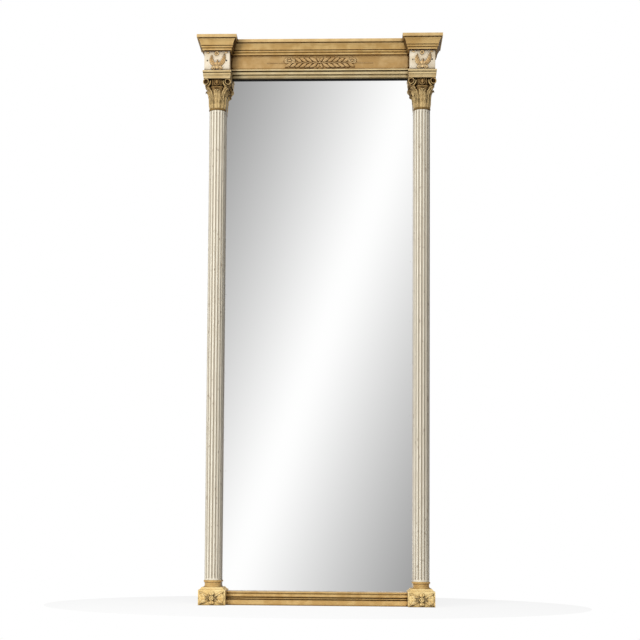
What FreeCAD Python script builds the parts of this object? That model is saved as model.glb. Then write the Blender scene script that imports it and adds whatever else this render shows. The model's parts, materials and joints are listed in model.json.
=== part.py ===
import FreeCAD, Part
import math
import os

from FreeCAD import Vector

# Pier mirror with two engaged columns, in millimetres.
# Modelling frame: X to the viewer's right, depth forwards from the wall (towards -Y), Z up from the foot.
# The finished part is moved so that its origin is the hanging point at the wall.

# Overall
overall_height = 1524.0
column_spacing = 551.0
hang_drop = 269.0
overrun = 2.0
join_tolerance = 0.000002

# Wall pads
pad_thickness = 8.0
pad_diameter = 22.0
pad_margin = 9.0

# Carcass of stiles and rails
carcass_thickness = 65.0
stile_width = 42.0
stile_inner_reach = 21.0
top_rail_height = 63.5
bottom_rail_height = 36.4
lip_thickness = 8.0

# Mirror plate and what holds it
glass_thickness = 4.0
glass_overlap = 8.0
glass_clearance = 1.0
slip_thickness = 2.0
block_length = 34.0
block_width = 8.0
block_depth = 12.0
blocks_per_stile = 4
blocks_per_rail = 2
panel_thickness = 3.0
panel_overlap = 8.0
panel_screws_per_stile = 5
panel_screws_per_rail = 3
panel_screw_diameter = 3.0
panel_screw_length = 14.0
panel_head_diameter = 6.0
panel_head_height = 1.8

# Column shaft
column_setout = 18.0
shaft_radius = 21.6
flute_count = 16
flute_radius = 2.2
flute_lift = 0.4
flute_margin = 7.0

# Column base, from the plinth up
base_fillet_height = 1.5
base_fillet_radius = 23.0
base_scotia_height = 10.0
base_scotia_radius = 20.8
base_neck_radius = 21.6
base_quirk_height = 1.0
base_quirk_radius = 20.8
base_ring_height = 6.0

# Plinth block and rosette
plinth_width = 71.3
plinth_block_height = 40.5
plinth_shoulder_height = 7.0
plinth_shoulder_inset = 8.0
plinth_reach = 31.5
rosette_thickness = 4.5
rosette_boss_radius = 6.0
rosette_margin = 1.5
rosette_leaf_width = 19.0
rosette_petal_width = 13.0

# Capital
necking_height = 7.0
necking_radius = 23.0
bell_height = 57.0
bell_foot_radius = 20.8
bell_waist_radius = 21.3
bell_top_radius = 29.0
bell_waist_share = 0.45
lower_leaf_height = 36.0
lower_leaf_width = 15.0
lower_leaf_reach = 29.0
upper_leaf_height = 54.0
upper_leaf_width = 17.0
upper_leaf_reach = 34.5
corner_leaf_reach = 45.0
leaf_skin = 1.6
leaf_step = 45.0
echinus_height = 19.0
echinus_radius = 33.0
volute_radius = 9.5
volute_thickness = 11.0
volute_reach = 28.4
volute_groove_depth = 1.4
volute_groove_shares = (0.42, 0.72)
abacus_overhang = 4.05
abacus_fillet_height = 5.2
abacus_quirk_height = 1.3
abacus_quirk_inset = 3.0
abacus_band_height = 6.4
abacus_band_inset = 1.2
abacus_foot_height = 7.8

# Die block and palmette
die_width = 68.3
die_height = 54.2
palmette_thickness = 2.6
palmette_bead_radius = 3.4
palmette_knot_radius = 5.0
pin_diameter = 1.4
pin_head_diameter = 3.0
pin_head_height = 0.8
pin_length = 10.0

# Cornice, from its foot up
cornice_height = 39.5
cornice_foot_height = 5.0
cornice_foot_projection = 5.0
cornice_quirk_height = 1.2
cornice_quirk_projection = 4.0
cornice_bead_height = 6.4
cornice_bead_projection = 8.2
cornice_cove_foot_projection = 9.5
cornice_cove_top_projection = 17.0
cornice_cove_hollow = 2.0
cornice_top_height = 9.0
cornice_top_projection = 19.4

# Frieze, spray and architrave
frieze_thickness = 6.0
spray_thickness = 3.2
spray_length = 290.0
spray_stem_width = 2.6
spray_leaf_length = 24.0
spray_leaf_width = 8.5
spray_boss_radius = 6.5
spray_bloom_radius = 8.0
spray_bloom_gap = 5.0
spray_leaf_start = 6.0
spray_leaf_pitch = 14.5
spray_leaf_pairs = 6
spray_leaf_angle = 39.0
architrave_foot_height = 5.0
architrave_foot_projection = 4.5
architrave_quirk_height = 2.4
architrave_quirk_projection = 3.0
architrave_band_height = 8.2
architrave_band_projection = 9.0
architrave_hollow_height = 2.6
architrave_top_height = 4.8
architrave_top_projection = 13.0

# Bottom moulding, from the foot up
skirt_height = 14.5
skirt_projection = 20.0
skirt_neck_projection = 15.0
skirt_foot_height = 7.5
skirt_swell = 1.4
reed_quirk_height = 2.8
reed_quirk_projection = 8.5
reed_fillet_height = 2.2
reed_fillet_projection = 12.5
reed_bead_height = 7.6
reed_bead_projection = 15.0
reed_top_projection = 10.0

# Joinery
dowel_diameter = 10.0
dowel_reach = 25.0
dowel_pitch = 17.0
dowel_clearance = 0.1
rail_dowel_diameter = 8.0
rail_dowel_pitch = 14.0
screw_diameter = 4.5
screw_head_diameter = 9.0
screw_head_height = 2.6
screw_bite = 15.0
screw_clearance = 0.1
screws_per_column = 3
screw_edge_gap = 1.0
die_screw_pitch = 26.0

# Ring hangers
strap_width = 13.0
strap_length = 46.0
strap_thickness = 1.2
barrel_wall = 1.2
ring_wire_diameter = 3.0
ring_half_width = 9.5
ring_leg = 8.5
ring_corner_radius = 2.4
ring_running_clearance = 0.05
ring_rest_clearance = 0.3
hanger_screw_diameter = 4.0
hanger_screw_length = 20.0
hanger_head_diameter = 7.0
hanger_head_height = 2.0
hanger_first_screw = 10.5
hanger_second_screw = 36.0

# Hand-chosen outline shares
leaf_crest_share = 0.45
leaf_foot_width_share = 0.7
leaf_shoulder_share = 0.82
leaf_shoulder_width_share = 0.55
leaf_bend_share = 0.6
leaf_tip_share = 0.88
shoulder_hollow_share = 0.6
bell_hollow_share = 0.6
rosette_petal_share = 0.92
palmette_foot_share = 0.18
palmette_leaf_shares = (
    ((0.32, 0.80), 0.20),
    ((0.17, 0.72), 0.14),
    ((0.00, 0.80), 0.10),
    ((0.33, 0.20), 0.12),
)
palmette_bead_share = 0.84
pin_place_shares = (0.38, 0.50)

# Depths in front of the wall
back_depth = pad_thickness
front_depth = back_depth + carcass_thickness
glass_front_depth = front_depth - lip_thickness
glass_back_depth = glass_front_depth - glass_thickness
column_depth = front_depth + column_setout
die_front_depth = column_depth + die_width / 2
plinth_front_depth = column_depth + plinth_reach
abacus_front_depth = die_front_depth + abacus_overhang
frieze_depth = front_depth + frieze_thickness

# Places across
column_x = column_spacing / 2
abacus_half_width = die_width / 2 + abacus_overhang
stile_inner_x = column_x - stile_inner_reach
stile_outer_x = stile_inner_x + stile_width
die_inner_x = column_x - die_width / 2
die_outer_x = column_x + die_width / 2
plinth_inner_x = column_x - plinth_width / 2
plinth_outer_x = column_x + plinth_width / 2
rebate_x = stile_inner_x + glass_overlap + glass_clearance
panel_edge_x = rebate_x + panel_overlap
back_strip_x = (panel_edge_x + stile_outer_x) / 2

# Heights above the foot
plinth_top = plinth_block_height + plinth_shoulder_height
shaft_foot = plinth_top + base_fillet_height + base_scotia_height + base_quirk_height + base_ring_height
cornice_foot = overall_height - cornice_height
die_foot = cornice_foot - die_height
abacus_height = (
    abacus_fillet_height + abacus_band_height + abacus_foot_height + 2 * abacus_quirk_height
)
abacus_foot = die_foot - abacus_height
echinus_foot = abacus_foot - echinus_height
bell_foot = echinus_foot - bell_height
shaft_top = bell_foot - necking_height
top_rail_foot = cornice_foot - top_rail_height
architrave_height = (
    architrave_foot_height + architrave_quirk_height + architrave_band_height
    + architrave_hollow_height + architrave_top_height
)
frieze_foot = top_rail_foot + architrave_height
rebate_low = bottom_rail_height - glass_overlap - glass_clearance
rebate_high = top_rail_foot + glass_overlap + glass_clearance
panel_low = rebate_low - panel_overlap
panel_high = rebate_high + panel_overlap

# Ring hanger places
hang_height = overall_height - hang_drop
barrel_radius = ring_wire_diameter / 2 + ring_running_clearance + barrel_wall
ring_height = ring_leg + ring_half_width
ring_pivot_depth = back_depth - barrel_radius
ring_lean = math.asin((barrel_radius - ring_wire_diameter / 2 - ring_rest_clearance) / ring_height)
ring_inner_rise = (ring_height - ring_wire_diameter / 2) * math.cos(ring_lean)
ring_pivot_z = hang_height - ring_inner_rise

X_AXIS = Vector(1, 0, 0)
Y_AXIS = Vector(0, 1, 0)
Z_AXIS = Vector(0, 0, 1)


def block(x_low, x_high, depth_low, depth_high, z_low, z_high):
    """Box between two sides, two depths and two heights."""
    corner = Vector(x_low, -depth_high, z_low)
    return Part.makeBox(x_high - x_low, depth_high - depth_low, z_high - z_low, corner)


def outline_wire(steps):
    """Closed wire: a point is a straight run to it, a pair is an arc through one point to another."""
    here = steps[0]
    edges = []
    for step in steps[1:]:
        if isinstance(step, tuple):
            edges.append(Part.Arc(here, step[0], step[1]).toShape())
            here = step[1]
        else:
            edges.append(Part.makeLine(here, step))
            here = step
    if not here.isEqual(steps[0], join_tolerance):
        edges.append(Part.makeLine(here, steps[0]))
    return Part.Wire(edges)


def outline_face(steps):
    """Flat face inside a closed outline."""
    return Part.Face(outline_wire(steps))


def one_solid(shape):
    """The single solid of a result, cleaned of seams."""
    return shape.removeSplitter().Solids[0]


def mirrored(shape):
    """The same piece on the left side."""
    return shape.mirror(Vector(0, 0, 0), X_AXIS)


def behind(depth):
    """Everything from far behind the wall up to a depth, across the right half and past both ends."""
    side = column_spacing
    return block(0, side, -side, depth, -overrun, overall_height + overrun)


def seated(shape):
    """A column piece cut flat where it meets the carcass front."""
    return one_solid(shape.cut(behind(front_depth)))


def turned(steps):
    """Round piece on the right column's axis from (radius, height) steps."""
    def place(point):
        return Vector(column_x + point[0], -column_depth, point[1])

    placed = []
    for kind, *points in steps:
        spots = [place(point) for point in points]
        placed.append(tuple(spots) if kind == "arc" else spots[0])
    axis_point = Vector(column_x, -column_depth, 0)
    return outline_face(placed).revolve(axis_point, Z_AXIS, 360)


def rod(radius, length, start, direction):
    """Round rod or hole from a point along a direction."""
    return Part.makeCylinder(radius, length, start, direction)


def evenly(low, high, count):
    """Places at the middles of equal bays between two ends."""
    bay = (high - low) / count
    return [low + bay * (number + 0.5) for number in range(count)]


def headed_screw(start, direction, shank_radius, length, head_radius, head_height):
    """Screw with a flat round head before its start and a shank after it."""
    shank = rod(shank_radius, length, start, direction)
    head = rod(head_radius, head_height, start - direction * head_height, direction)
    return one_solid(shank.fuse(head))


def sunk_screw(start, direction, shank_radius, length, head_radius, head_height):
    """Countersunk screw whose head ends flush at its start."""
    shank = rod(shank_radius, length, start, direction)
    head = Part.makeCone(head_radius, shank_radius, head_height, start, direction)
    return one_solid(shank.fuse(head))


def column_screw_places():
    """Starts of the screws that hold the right column, at the back of its stile."""
    across = panel_edge_x + screw_edge_gap + screw_head_diameter / 2
    reach = shaft_top - shaft_foot
    return [
        Vector(across, -back_depth, shaft_foot + reach * (number + 0.5) / screws_per_column)
        for number in range(screws_per_column)
    ]


def die_screw_places():
    """Starts of the screws that hold the right die, at the back of the top rail."""
    height = die_foot + die_height / 2
    return [
        Vector(column_x + side * die_screw_pitch / 2, -back_depth, height)
        for side in (-1, 1)
    ]


def long_screw(start, extra=0.0):
    """Screw through the carcass into what stands in front of it, or its hole when extra is given."""
    return sunk_screw(
        start, -Y_AXIS, screw_diameter / 2 + extra, carcass_thickness + screw_bite + extra,
        screw_head_diameter / 2 + extra, screw_head_height,
    )


def screw_holes(places):
    """Holes for the long screws at these places."""
    return [long_screw(place, screw_clearance) for place in places]


def stile_dowels(height, extra=0.0):
    """Pair of upright dowels across the joint at one end of the right stile."""
    radius = dowel_diameter / 2 + extra
    length = 2 * (dowel_reach + extra)
    middle_x = (rebate_x + stile_outer_x) / 2
    depth = (back_depth + front_depth) / 2
    return [
        rod(radius, length, Vector(middle_x + side * dowel_pitch / 2, -depth, height - length / 2), Z_AXIS)
        for side in (-1, 1)
    ]


def rail_dowels(extra=0.0):
    """Pair of level dowels between the bottom rail and the right plinth block."""
    radius = rail_dowel_diameter / 2 + extra
    length = 2 * (dowel_reach + extra)
    depth = (back_depth + front_depth) / 2
    return [
        rod(
            radius, length,
            Vector(plinth_inner_x - length / 2, -depth - side * rail_dowel_pitch / 2, rebate_low / 2),
            X_AXIS,
        )
        for side in (-1, 1)
    ]


def column_dowels(extra=0.0):
    """Dowels on the right column's axis, through its base and through its necking."""
    radius = dowel_diameter / 2 + extra
    low_start = plinth_top - dowel_reach - extra
    low_end = shaft_foot + dowel_reach + extra
    high_start = shaft_top - dowel_reach - extra
    high_end = bell_foot + dowel_reach + extra
    return [
        rod(radius, low_end - low_start, Vector(column_x, -column_depth, low_start), Z_AXIS),
        rod(radius, high_end - high_start, Vector(column_x, -column_depth, high_start), Z_AXIS),
    ]


def hanger_screw_places():
    """Seats of the right hanger's screw heads on its strap."""
    depth = back_depth - strap_thickness
    return [
        Vector(back_strip_x, -depth, ring_pivot_z - drop)
        for drop in (hanger_first_screw, hanger_second_screw)
    ]


def hanger_screw(place, extra=0.0):
    """Hanger screw with its round head on the strap, or its hole when extra is given."""
    return headed_screw(
        place, -Y_AXIS, hanger_screw_diameter / 2 + extra, hanger_screw_length + extra,
        hanger_head_diameter / 2, hanger_head_height,
    )


def panel_screw_places():
    """Seats of the back panel's screw heads, round its edge."""
    side_x = rebate_x + panel_overlap / 2
    low_z = rebate_low - panel_overlap / 2
    high_z = rebate_high + panel_overlap / 2
    depth = back_depth - panel_thickness
    places = []
    for height in evenly(panel_low, panel_high, panel_screws_per_stile):
        places += [Vector(-side_x, -depth, height), Vector(side_x, -depth, height)]
    for across in evenly(-panel_edge_x, panel_edge_x, panel_screws_per_rail):
        places += [Vector(across, -depth, low_z), Vector(across, -depth, high_z)]
    return places


def panel_screw(place, extra=0.0):
    """Back panel screw with its round head on the panel, or its hole when extra is given."""
    return headed_screw(
        place, -Y_AXIS, panel_screw_diameter / 2 + extra, panel_screw_length + extra,
        panel_head_diameter / 2, panel_head_height,
    )


def panel_holes():
    """Holes for all the back panel's screws."""
    return [panel_screw(place, screw_clearance) for place in panel_screw_places()]


def stile():
    """Right stile with the rebate for the glass along its inner back edge."""
    body = block(stile_inner_x, stile_outer_x, back_depth, front_depth, plinth_top, top_rail_foot)
    rebate = block(
        stile_inner_x - overrun, rebate_x, back_depth - overrun, glass_front_depth,
        plinth_top - overrun, top_rail_foot + overrun,
    )
    holes = screw_holes(column_screw_places())
    holes += stile_dowels(plinth_top, dowel_clearance) + stile_dowels(top_rail_foot, dowel_clearance)
    holes += [hanger_screw(place, screw_clearance) for place in hanger_screw_places()]
    return one_solid(body.cut([rebate] + holes + panel_holes()))


def top_rail():
    """Top rail across both stiles, with the rebate for the glass and the sockets for dowels and screws."""
    body = block(-die_outer_x, die_outer_x, back_depth, front_depth, top_rail_foot, cornice_foot)
    rebate = block(
        -rebate_x, rebate_x, back_depth - overrun, glass_front_depth, top_rail_foot - overrun, rebate_high,
    )
    holes = screw_holes(die_screw_places()) + stile_dowels(top_rail_foot, dowel_clearance)
    holes += [mirrored(hole) for hole in holes]
    return one_solid(body.cut([rebate] + holes + panel_holes()))


def bottom_rail():
    """Bottom rail between the plinth blocks, with the rebate for the glass along its upper back edge."""
    body = block(-plinth_inner_x, plinth_inner_x, back_depth, front_depth, 0, bottom_rail_height)
    rebate = block(
        -rebate_x, rebate_x, back_depth - overrun, glass_front_depth,
        rebate_low, bottom_rail_height + overrun,
    )
    holes = rail_dowels(dowel_clearance)
    holes += [mirrored(hole) for hole in holes]
    return one_solid(body.cut([rebate] + holes + panel_holes()))


def shoulder_run(place_side, direction):
    """Plinth outline with its hollow shoulder, drawn from one side and run along a direction."""
    middle_inset = plinth_shoulder_inset * shoulder_hollow_share
    middle_rise = plinth_shoulder_height * (1 - shoulder_hollow_share)
    steps = [
        place_side(0, 0),
        place_side(0, plinth_block_height),
        (
            place_side(middle_inset, plinth_block_height + middle_rise),
            place_side(plinth_shoulder_inset, plinth_top),
        ),
        place_side(plinth_width, plinth_top),
        place_side(plinth_width, 0),
    ]
    return outline_face(steps).extrude(direction)


def plinth_block():
    """Right plinth block: square foot, hollow shoulders on three sides, a notch behind for the glass."""
    depth_run = Vector(0, plinth_front_depth - back_depth, 0)
    side_run = Vector(plinth_width, 0, 0)
    outer = shoulder_run(lambda inset, z: Vector(plinth_outer_x - inset, -plinth_front_depth, z), depth_run)
    inner = shoulder_run(lambda inset, z: Vector(plinth_inner_x + inset, -plinth_front_depth, z), depth_run)
    front = shoulder_run(lambda inset, z: Vector(plinth_inner_x, inset - plinth_front_depth, z), side_run)
    backing = block(
        plinth_inner_x, plinth_outer_x, back_depth, front_depth, 0, plinth_top,
    )
    body = outer.common(inner).common(front.fuse(backing))
    notch = block(
        plinth_inner_x - overrun, rebate_x, back_depth - overrun, glass_front_depth, rebate_low,
        plinth_top + overrun,
    )
    holes = stile_dowels(plinth_top, dowel_clearance) + rail_dowels(dowel_clearance)
    holes += column_dowels(dowel_clearance)
    return one_solid(body.cut([notch] + holes + panel_holes()))


def corner_dowels():
    """All the dowels that join stiles, rails and plinth blocks."""
    right = stile_dowels(plinth_top) + stile_dowels(top_rail_foot) + rail_dowels()
    return Part.makeCompound(right + [mirrored(dowel) for dowel in right])


def flute_cutter(number):
    """Round-ended groove for one flute, the first one facing the viewer."""
    turn = 2 * math.pi * number / flute_count
    radius = shaft_radius + flute_lift
    x = column_x + radius * math.sin(turn)
    y = -column_depth - radius * math.cos(turn)
    low = Vector(x, y, shaft_foot + flute_margin)
    high = Vector(x, y, shaft_top - flute_margin)
    groove = rod(flute_radius, high.z - low.z, low, Z_AXIS)
    return groove.fuse([Part.makeSphere(flute_radius, low), Part.makeSphere(flute_radius, high)])


def column_shaft():
    """Right column: fluted shaft, cut flat behind where it lies on its stile."""
    body = rod(shaft_radius, shaft_top - shaft_foot, Vector(column_x, -column_depth, shaft_foot), Z_AXIS)
    flutes = [flute_cutter(number) for number in range(flute_count)]
    holes = screw_holes(column_screw_places()) + column_dowels(dowel_clearance)
    return seated(body.cut(flutes).cut(holes))


def column_base():
    """Right column's turned base: fillet, hollow, quirk and ring."""
    fillet_top = plinth_top + base_fillet_height
    scotia_top = fillet_top + base_scotia_height
    quirk_top = scotia_top + base_quirk_height
    ring_radius = base_ring_height / 2
    scotia_middle = (base_scotia_radius, fillet_top + base_scotia_height / 2)
    ring_middle = (base_quirk_radius + ring_radius, quirk_top + ring_radius)
    body = turned([
        ("line", (0, plinth_top)),
        ("line", (base_fillet_radius, plinth_top)),
        ("line", (base_fillet_radius, fillet_top)),
        ("arc", scotia_middle, (base_neck_radius, scotia_top)),
        ("line", (base_quirk_radius, scotia_top)),
        ("line", (base_quirk_radius, quirk_top)),
        ("arc", ring_middle, (base_quirk_radius, shaft_foot)),
        ("line", (0, shaft_foot)),
    ])
    return seated(body.cut(column_dowels(dowel_clearance)))


def necking_ring():
    """Right column's gilt ring between shaft and capital."""
    bead = necking_height / 2
    core = necking_radius - bead
    body = turned([
        ("line", (0, shaft_top)),
        ("line", (core, shaft_top)),
        ("arc", (necking_radius, shaft_top + bead), (core, bell_foot)),
        ("line", (0, bell_foot)),
    ])
    return seated(body.cut(column_dowels(dowel_clearance)))


def bell_body():
    """Plain flared bell of the right capital."""
    waist = bell_foot + bell_height * bell_waist_share
    middle_z = (waist + echinus_foot) / 2
    middle_radius = bell_waist_radius + (bell_top_radius - bell_waist_radius) * (1 - bell_hollow_share)
    return turned([
        ("line", (0, bell_foot)),
        ("line", (bell_foot_radius, bell_foot)),
        ("line", (bell_waist_radius, waist)),
        ("arc", (middle_radius, middle_z), (bell_top_radius, echinus_foot)),
        ("line", (0, echinus_foot)),
    ])


def capital_bell():
    """Right capital's bell with its dowel socket, flat behind."""
    return seated(bell_body().cut(column_dowels(dowel_clearance)))


def capital_leaf(height, width, reach, turn):
    """One curling leaf on the right bell, facing a turn from the front in degrees."""
    def side(radius, share):
        return Vector(column_x, -column_depth - radius, bell_foot + height * share)

    def face(across, share):
        return Vector(column_x + across, -column_depth, bell_foot + height * share)

    foot = bell_foot_radius + leaf_skin
    bend = bell_waist_radius + leaf_skin
    half = width / 2
    foot_half = half * leaf_foot_width_share
    shoulder_half = half * leaf_shoulder_width_share
    profile = outline_face([
        side(0, 0),
        side(foot, 0),
        side(bend, leaf_bend_share),
        (side((bend + reach) / 2, leaf_shoulder_share), side(reach, leaf_tip_share)),
        (side((bend + reach) / 2, 1), side(0, leaf_tip_share)),
    ])
    front = outline_face([
        face(-foot_half, 0),
        (face(-half, leaf_bend_share / 2), face(-shoulder_half, leaf_shoulder_share)),
        (face(0, 1), face(shoulder_half, leaf_shoulder_share)),
        (face(half, leaf_bend_share / 2), face(foot_half, 0)),
    ])
    profile.translate(Vector(-width, 0, 0))
    thick = profile.extrude(Vector(2 * width, 0, 0))
    cut_out = front.extrude(Vector(0, -2 * reach, 0))
    leaf = thick.common(cut_out)
    leaf.rotate(Vector(column_x, -column_depth, 0), Z_AXIS, turn)
    return leaf


def capital_leaves():
    """Leaves round the right bell: tall ones facing the sides and corners, short ones between them."""
    bell = bell_body()
    tall = []
    for number in range(-2, 3):
        reach = corner_leaf_reach if number % 2 else upper_leaf_reach
        leaf = capital_leaf(upper_leaf_height, upper_leaf_width, reach, leaf_step * number)
        tall.append(one_solid(leaf.cut(bell)))
    short = []
    for number in range(-2, 2):
        turn = leaf_step * (number + 0.5)
        leaf = capital_leaf(lower_leaf_height, lower_leaf_width, lower_leaf_reach, turn)
        short.append(one_solid(leaf.cut([bell] + tall)))
    return Part.makeCompound(tall + short)


def volute_axis(side):
    """Start and direction of one scroll's axis, on the diagonal under a front corner of the abacus."""
    along = Vector(side, 1, 0)
    along.normalize()
    centre = Vector(
        column_x + side * volute_reach, -column_depth - volute_reach, abacus_foot - volute_radius,
    )
    return centre - along * (volute_thickness / 2), along


def volute_disc(side):
    """Plain disc that a scroll of the right capital fills."""
    start, along = volute_axis(side)
    return rod(volute_radius, volute_thickness, start, along)


def volute(side):
    """One scroll of the right capital, its faces grooved."""
    start, along = volute_axis(side)
    inner_share, outer_share = volute_groove_shares
    grooves = []
    for face in (start - along * overrun, start + along * (volute_thickness - volute_groove_depth)):
        length = volute_groove_depth + overrun
        ring = rod(volute_radius * outer_share, length, face, along)
        grooves.append(ring.cut(rod(volute_radius * inner_share, length, face, along)))
    return one_solid(volute_disc(side).cut(grooves))


def capital_volutes():
    """Both scrolls of the right capital."""
    return Part.makeCompound([volute(-1), volute(1)])


def capital_echinus():
    """Rounded cushion between the right bell and its abacus, cut away for the scrolls."""
    middle = (echinus_radius, echinus_foot + echinus_height / 2)
    body = turned([
        ("line", (0, echinus_foot)),
        ("line", (bell_top_radius, echinus_foot)),
        ("arc", middle, (bell_top_radius, abacus_foot)),
        ("line", (0, abacus_foot)),
    ])
    return seated(body.cut([volute_disc(-1), volute_disc(1)]))


def abacus_layer(inset, z_low, z_high):
    """One square layer of the right abacus."""
    half = abacus_half_width - inset
    return block(column_x - half, column_x + half, front_depth, column_depth + half, z_low, z_high)


def abacus():
    """Right abacus: foot band, quirk, middle band, quirk and top fillet."""
    layers = []
    height = abacus_foot
    for inset, thickness in (
        (abacus_band_inset, abacus_foot_height),
        (abacus_quirk_inset, abacus_quirk_height),
        (abacus_band_inset, abacus_band_height),
        (abacus_quirk_inset, abacus_quirk_height),
        (0, abacus_fillet_height),
    ):
        layers.append(abacus_layer(inset, height, height + thickness))
        height += thickness
    return one_solid(layers[0].fuse(layers[1:]))


def pin_places():
    """Places of the right die's pins, on its front face."""
    across_share, height_share = pin_place_shares
    height = die_foot + die_height * height_share
    return [
        Vector(column_x + side * die_width * across_share, -die_front_depth, height)
        for side in (-1, 1)
    ]


def pin(place, extra=0.0):
    """Small pin with its head on the die's face, or its hole when extra is given."""
    return headed_screw(
        place, Y_AXIS, pin_diameter / 2 + extra, pin_length + extra, pin_head_diameter / 2, pin_head_height,
    )


def die_block():
    """Right die between abacus and cornice cap, with the sockets of its screws and pins."""
    body = block(die_inner_x, die_outer_x, front_depth, die_front_depth, die_foot, cornice_foot)
    pins = [pin(place, screw_clearance) for place in pin_places()]
    return one_solid(body.cut(screw_holes(die_screw_places()) + pins))


def carved_leaf(root, tip, width, depth, thickness):
    """Pointed leaf lying on a face at a depth, drawn in towards a narrower crest."""
    run = tip - root
    across = Vector(run.z, 0, -run.x)
    across.normalize()
    middle = (root + tip) * 0.5
    wires = []
    for share, out in ((1, depth), (leaf_crest_share, depth + thickness)):
        forward = Vector(0, -out, 0)
        start = middle + (root - middle) * share + forward
        end = middle + (tip - middle) * share + forward
        bulge = across * (width * share / 2)
        wires.append(outline_wire([
            start,
            (middle + bulge + forward, end),
            (middle - bulge + forward, start),
        ]))
    return Part.makeLoft(wires, True, True)


def boss(centre, radius, depth, height):
    """Low round boss on a face at a depth: a drum with a narrower crown."""
    start = Vector(centre.x, -depth, centre.z)
    return Part.makeCone(radius, radius * leaf_crest_share, height, start, -Y_AXIS)


def joined(pieces):
    """Carved pieces that touch, as one solid."""
    return one_solid(pieces[0].fuse(pieces[1:]))


def die_palmette():
    """Gilt palmette on the right die: spread leaves, foot leaves, knot and bead."""
    foot = Vector(column_x, 0, die_foot + die_height * palmette_foot_share)
    pieces = [boss(foot, palmette_knot_radius, die_front_depth, palmette_thickness)]
    for (across_share, height_share), width_share in palmette_leaf_shares:
        for side in (-1, 1) if across_share else (1,):
            tip = Vector(
                column_x + side * die_width * across_share, 0, die_foot + die_height * height_share,
            )
            width = die_width * width_share
            pieces.append(carved_leaf(foot, tip, width, die_front_depth, palmette_thickness))
    bead = Vector(column_x, 0, die_foot + die_height * palmette_bead_share)
    pieces.append(boss(bead, palmette_bead_radius, die_front_depth, palmette_thickness))
    return joined(pieces)


def plinth_rosette():
    """Gilt rosette on the right plinth: leaves to the four corners, petals between them and a boss."""
    centre = Vector(column_x, 0, plinth_block_height / 2)
    half_width = plinth_width / 2 - rosette_margin
    half_height = plinth_block_height / 2 - rosette_margin
    pieces = [boss(centre, rosette_boss_radius, plinth_front_depth, rosette_thickness)]
    for side in (-1, 1):
        for end in (-1, 1):
            corner = centre + Vector(side * half_width, 0, end * half_height)
            pieces.append(
                carved_leaf(centre, corner, rosette_leaf_width, plinth_front_depth, rosette_thickness)
            )
        upright = centre + Vector(0, 0, side * half_height * rosette_petal_share)
        level = centre + Vector(side * half_width * rosette_petal_share, 0, 0)
        for tip in (upright, level):
            pieces.append(
                carved_leaf(centre, tip, rosette_petal_width, plinth_front_depth, rosette_thickness)
            )
    face = block(
        plinth_inner_x + rosette_margin, plinth_outer_x - rosette_margin, plinth_front_depth,
        plinth_front_depth + rosette_thickness, rosette_margin, plinth_block_height - rosette_margin,
    )
    return one_solid(joined(pieces).common(face))


def cornice_run(place, back_steps, direction):
    """Cornice outline drawn through place(projection, height), closed behind and run along a direction."""
    foot_top = cornice_foot_height
    bead_low = foot_top + cornice_quirk_height
    bead_high = bead_low + cornice_bead_height
    bead_root = cornice_bead_projection - cornice_bead_height / 2
    cove_high = cornice_height - cornice_top_height
    cove_middle = (cornice_cove_foot_projection + cornice_cove_top_projection) / 2 - cornice_cove_hollow
    steps = [
        place(cornice_foot_projection, 0),
        place(cornice_foot_projection, foot_top),
        place(cornice_quirk_projection, foot_top),
        place(cornice_quirk_projection, bead_low),
        place(bead_root, bead_low),
        (
            place(cornice_bead_projection, (bead_low + bead_high) / 2),
            place(bead_root, bead_high),
        ),
        place(cornice_cove_foot_projection, bead_high),
        (
            place(cove_middle, (bead_high + cove_high) / 2),
            place(cornice_cove_top_projection, cove_high),
        ),
        place(cornice_top_projection, cove_high),
        place(cornice_top_projection, cornice_height),
    ]
    return outline_face(steps + back_steps).extrude(direction)


def cornice_cap():
    """Right cornice cap: the cornice carried round three sides of the die, mitred at its corners."""
    x_low = die_inner_x - cornice_top_projection
    x_high = die_outer_x + cornice_top_projection
    depth_high = die_front_depth + cornice_top_projection
    side_run = Vector(x_high - x_low, 0, 0)
    depth_run = Vector(0, depth_high - back_depth, 0)

    def front_at(projection, rise):
        return Vector(x_low, -die_front_depth - projection, cornice_foot + rise)

    def outer_at(projection, rise):
        return Vector(die_outer_x + projection, -depth_high, cornice_foot + rise)

    def inner_at(projection, rise):
        return Vector(die_inner_x - projection, -depth_high, cornice_foot + rise)

    front = cornice_run(
        front_at,
        [Vector(x_low, -back_depth, overall_height), Vector(x_low, -back_depth, cornice_foot)],
        side_run,
    )
    outer = cornice_run(
        outer_at,
        [Vector(x_low, -depth_high, overall_height), Vector(x_low, -depth_high, cornice_foot)],
        depth_run,
    )
    inner = cornice_run(
        inner_at,
        [Vector(x_high, -depth_high, overall_height), Vector(x_high, -depth_high, cornice_foot)],
        depth_run,
    )
    return one_solid(front.common(outer).common(inner))


def cornice_moulding(cap):
    """Long cornice over the frieze, coped to both caps at its ends."""
    def front_at(projection, rise):
        return Vector(-die_inner_x, -frieze_depth - projection, cornice_foot + rise)

    body = cornice_run(
        front_at,
        [
            Vector(-die_inner_x, -back_depth, overall_height),
            Vector(-die_inner_x, -back_depth, cornice_foot),
        ],
        Vector(2 * die_inner_x, 0, 0),
    )
    return one_solid(body.cut([cap, mirrored(cap)]))


def frieze_board():
    """Flat frieze between the dies, from the architrave to the cornice."""
    return block(-die_inner_x, die_inner_x, front_depth, frieze_depth, frieze_foot, cornice_foot)


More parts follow.
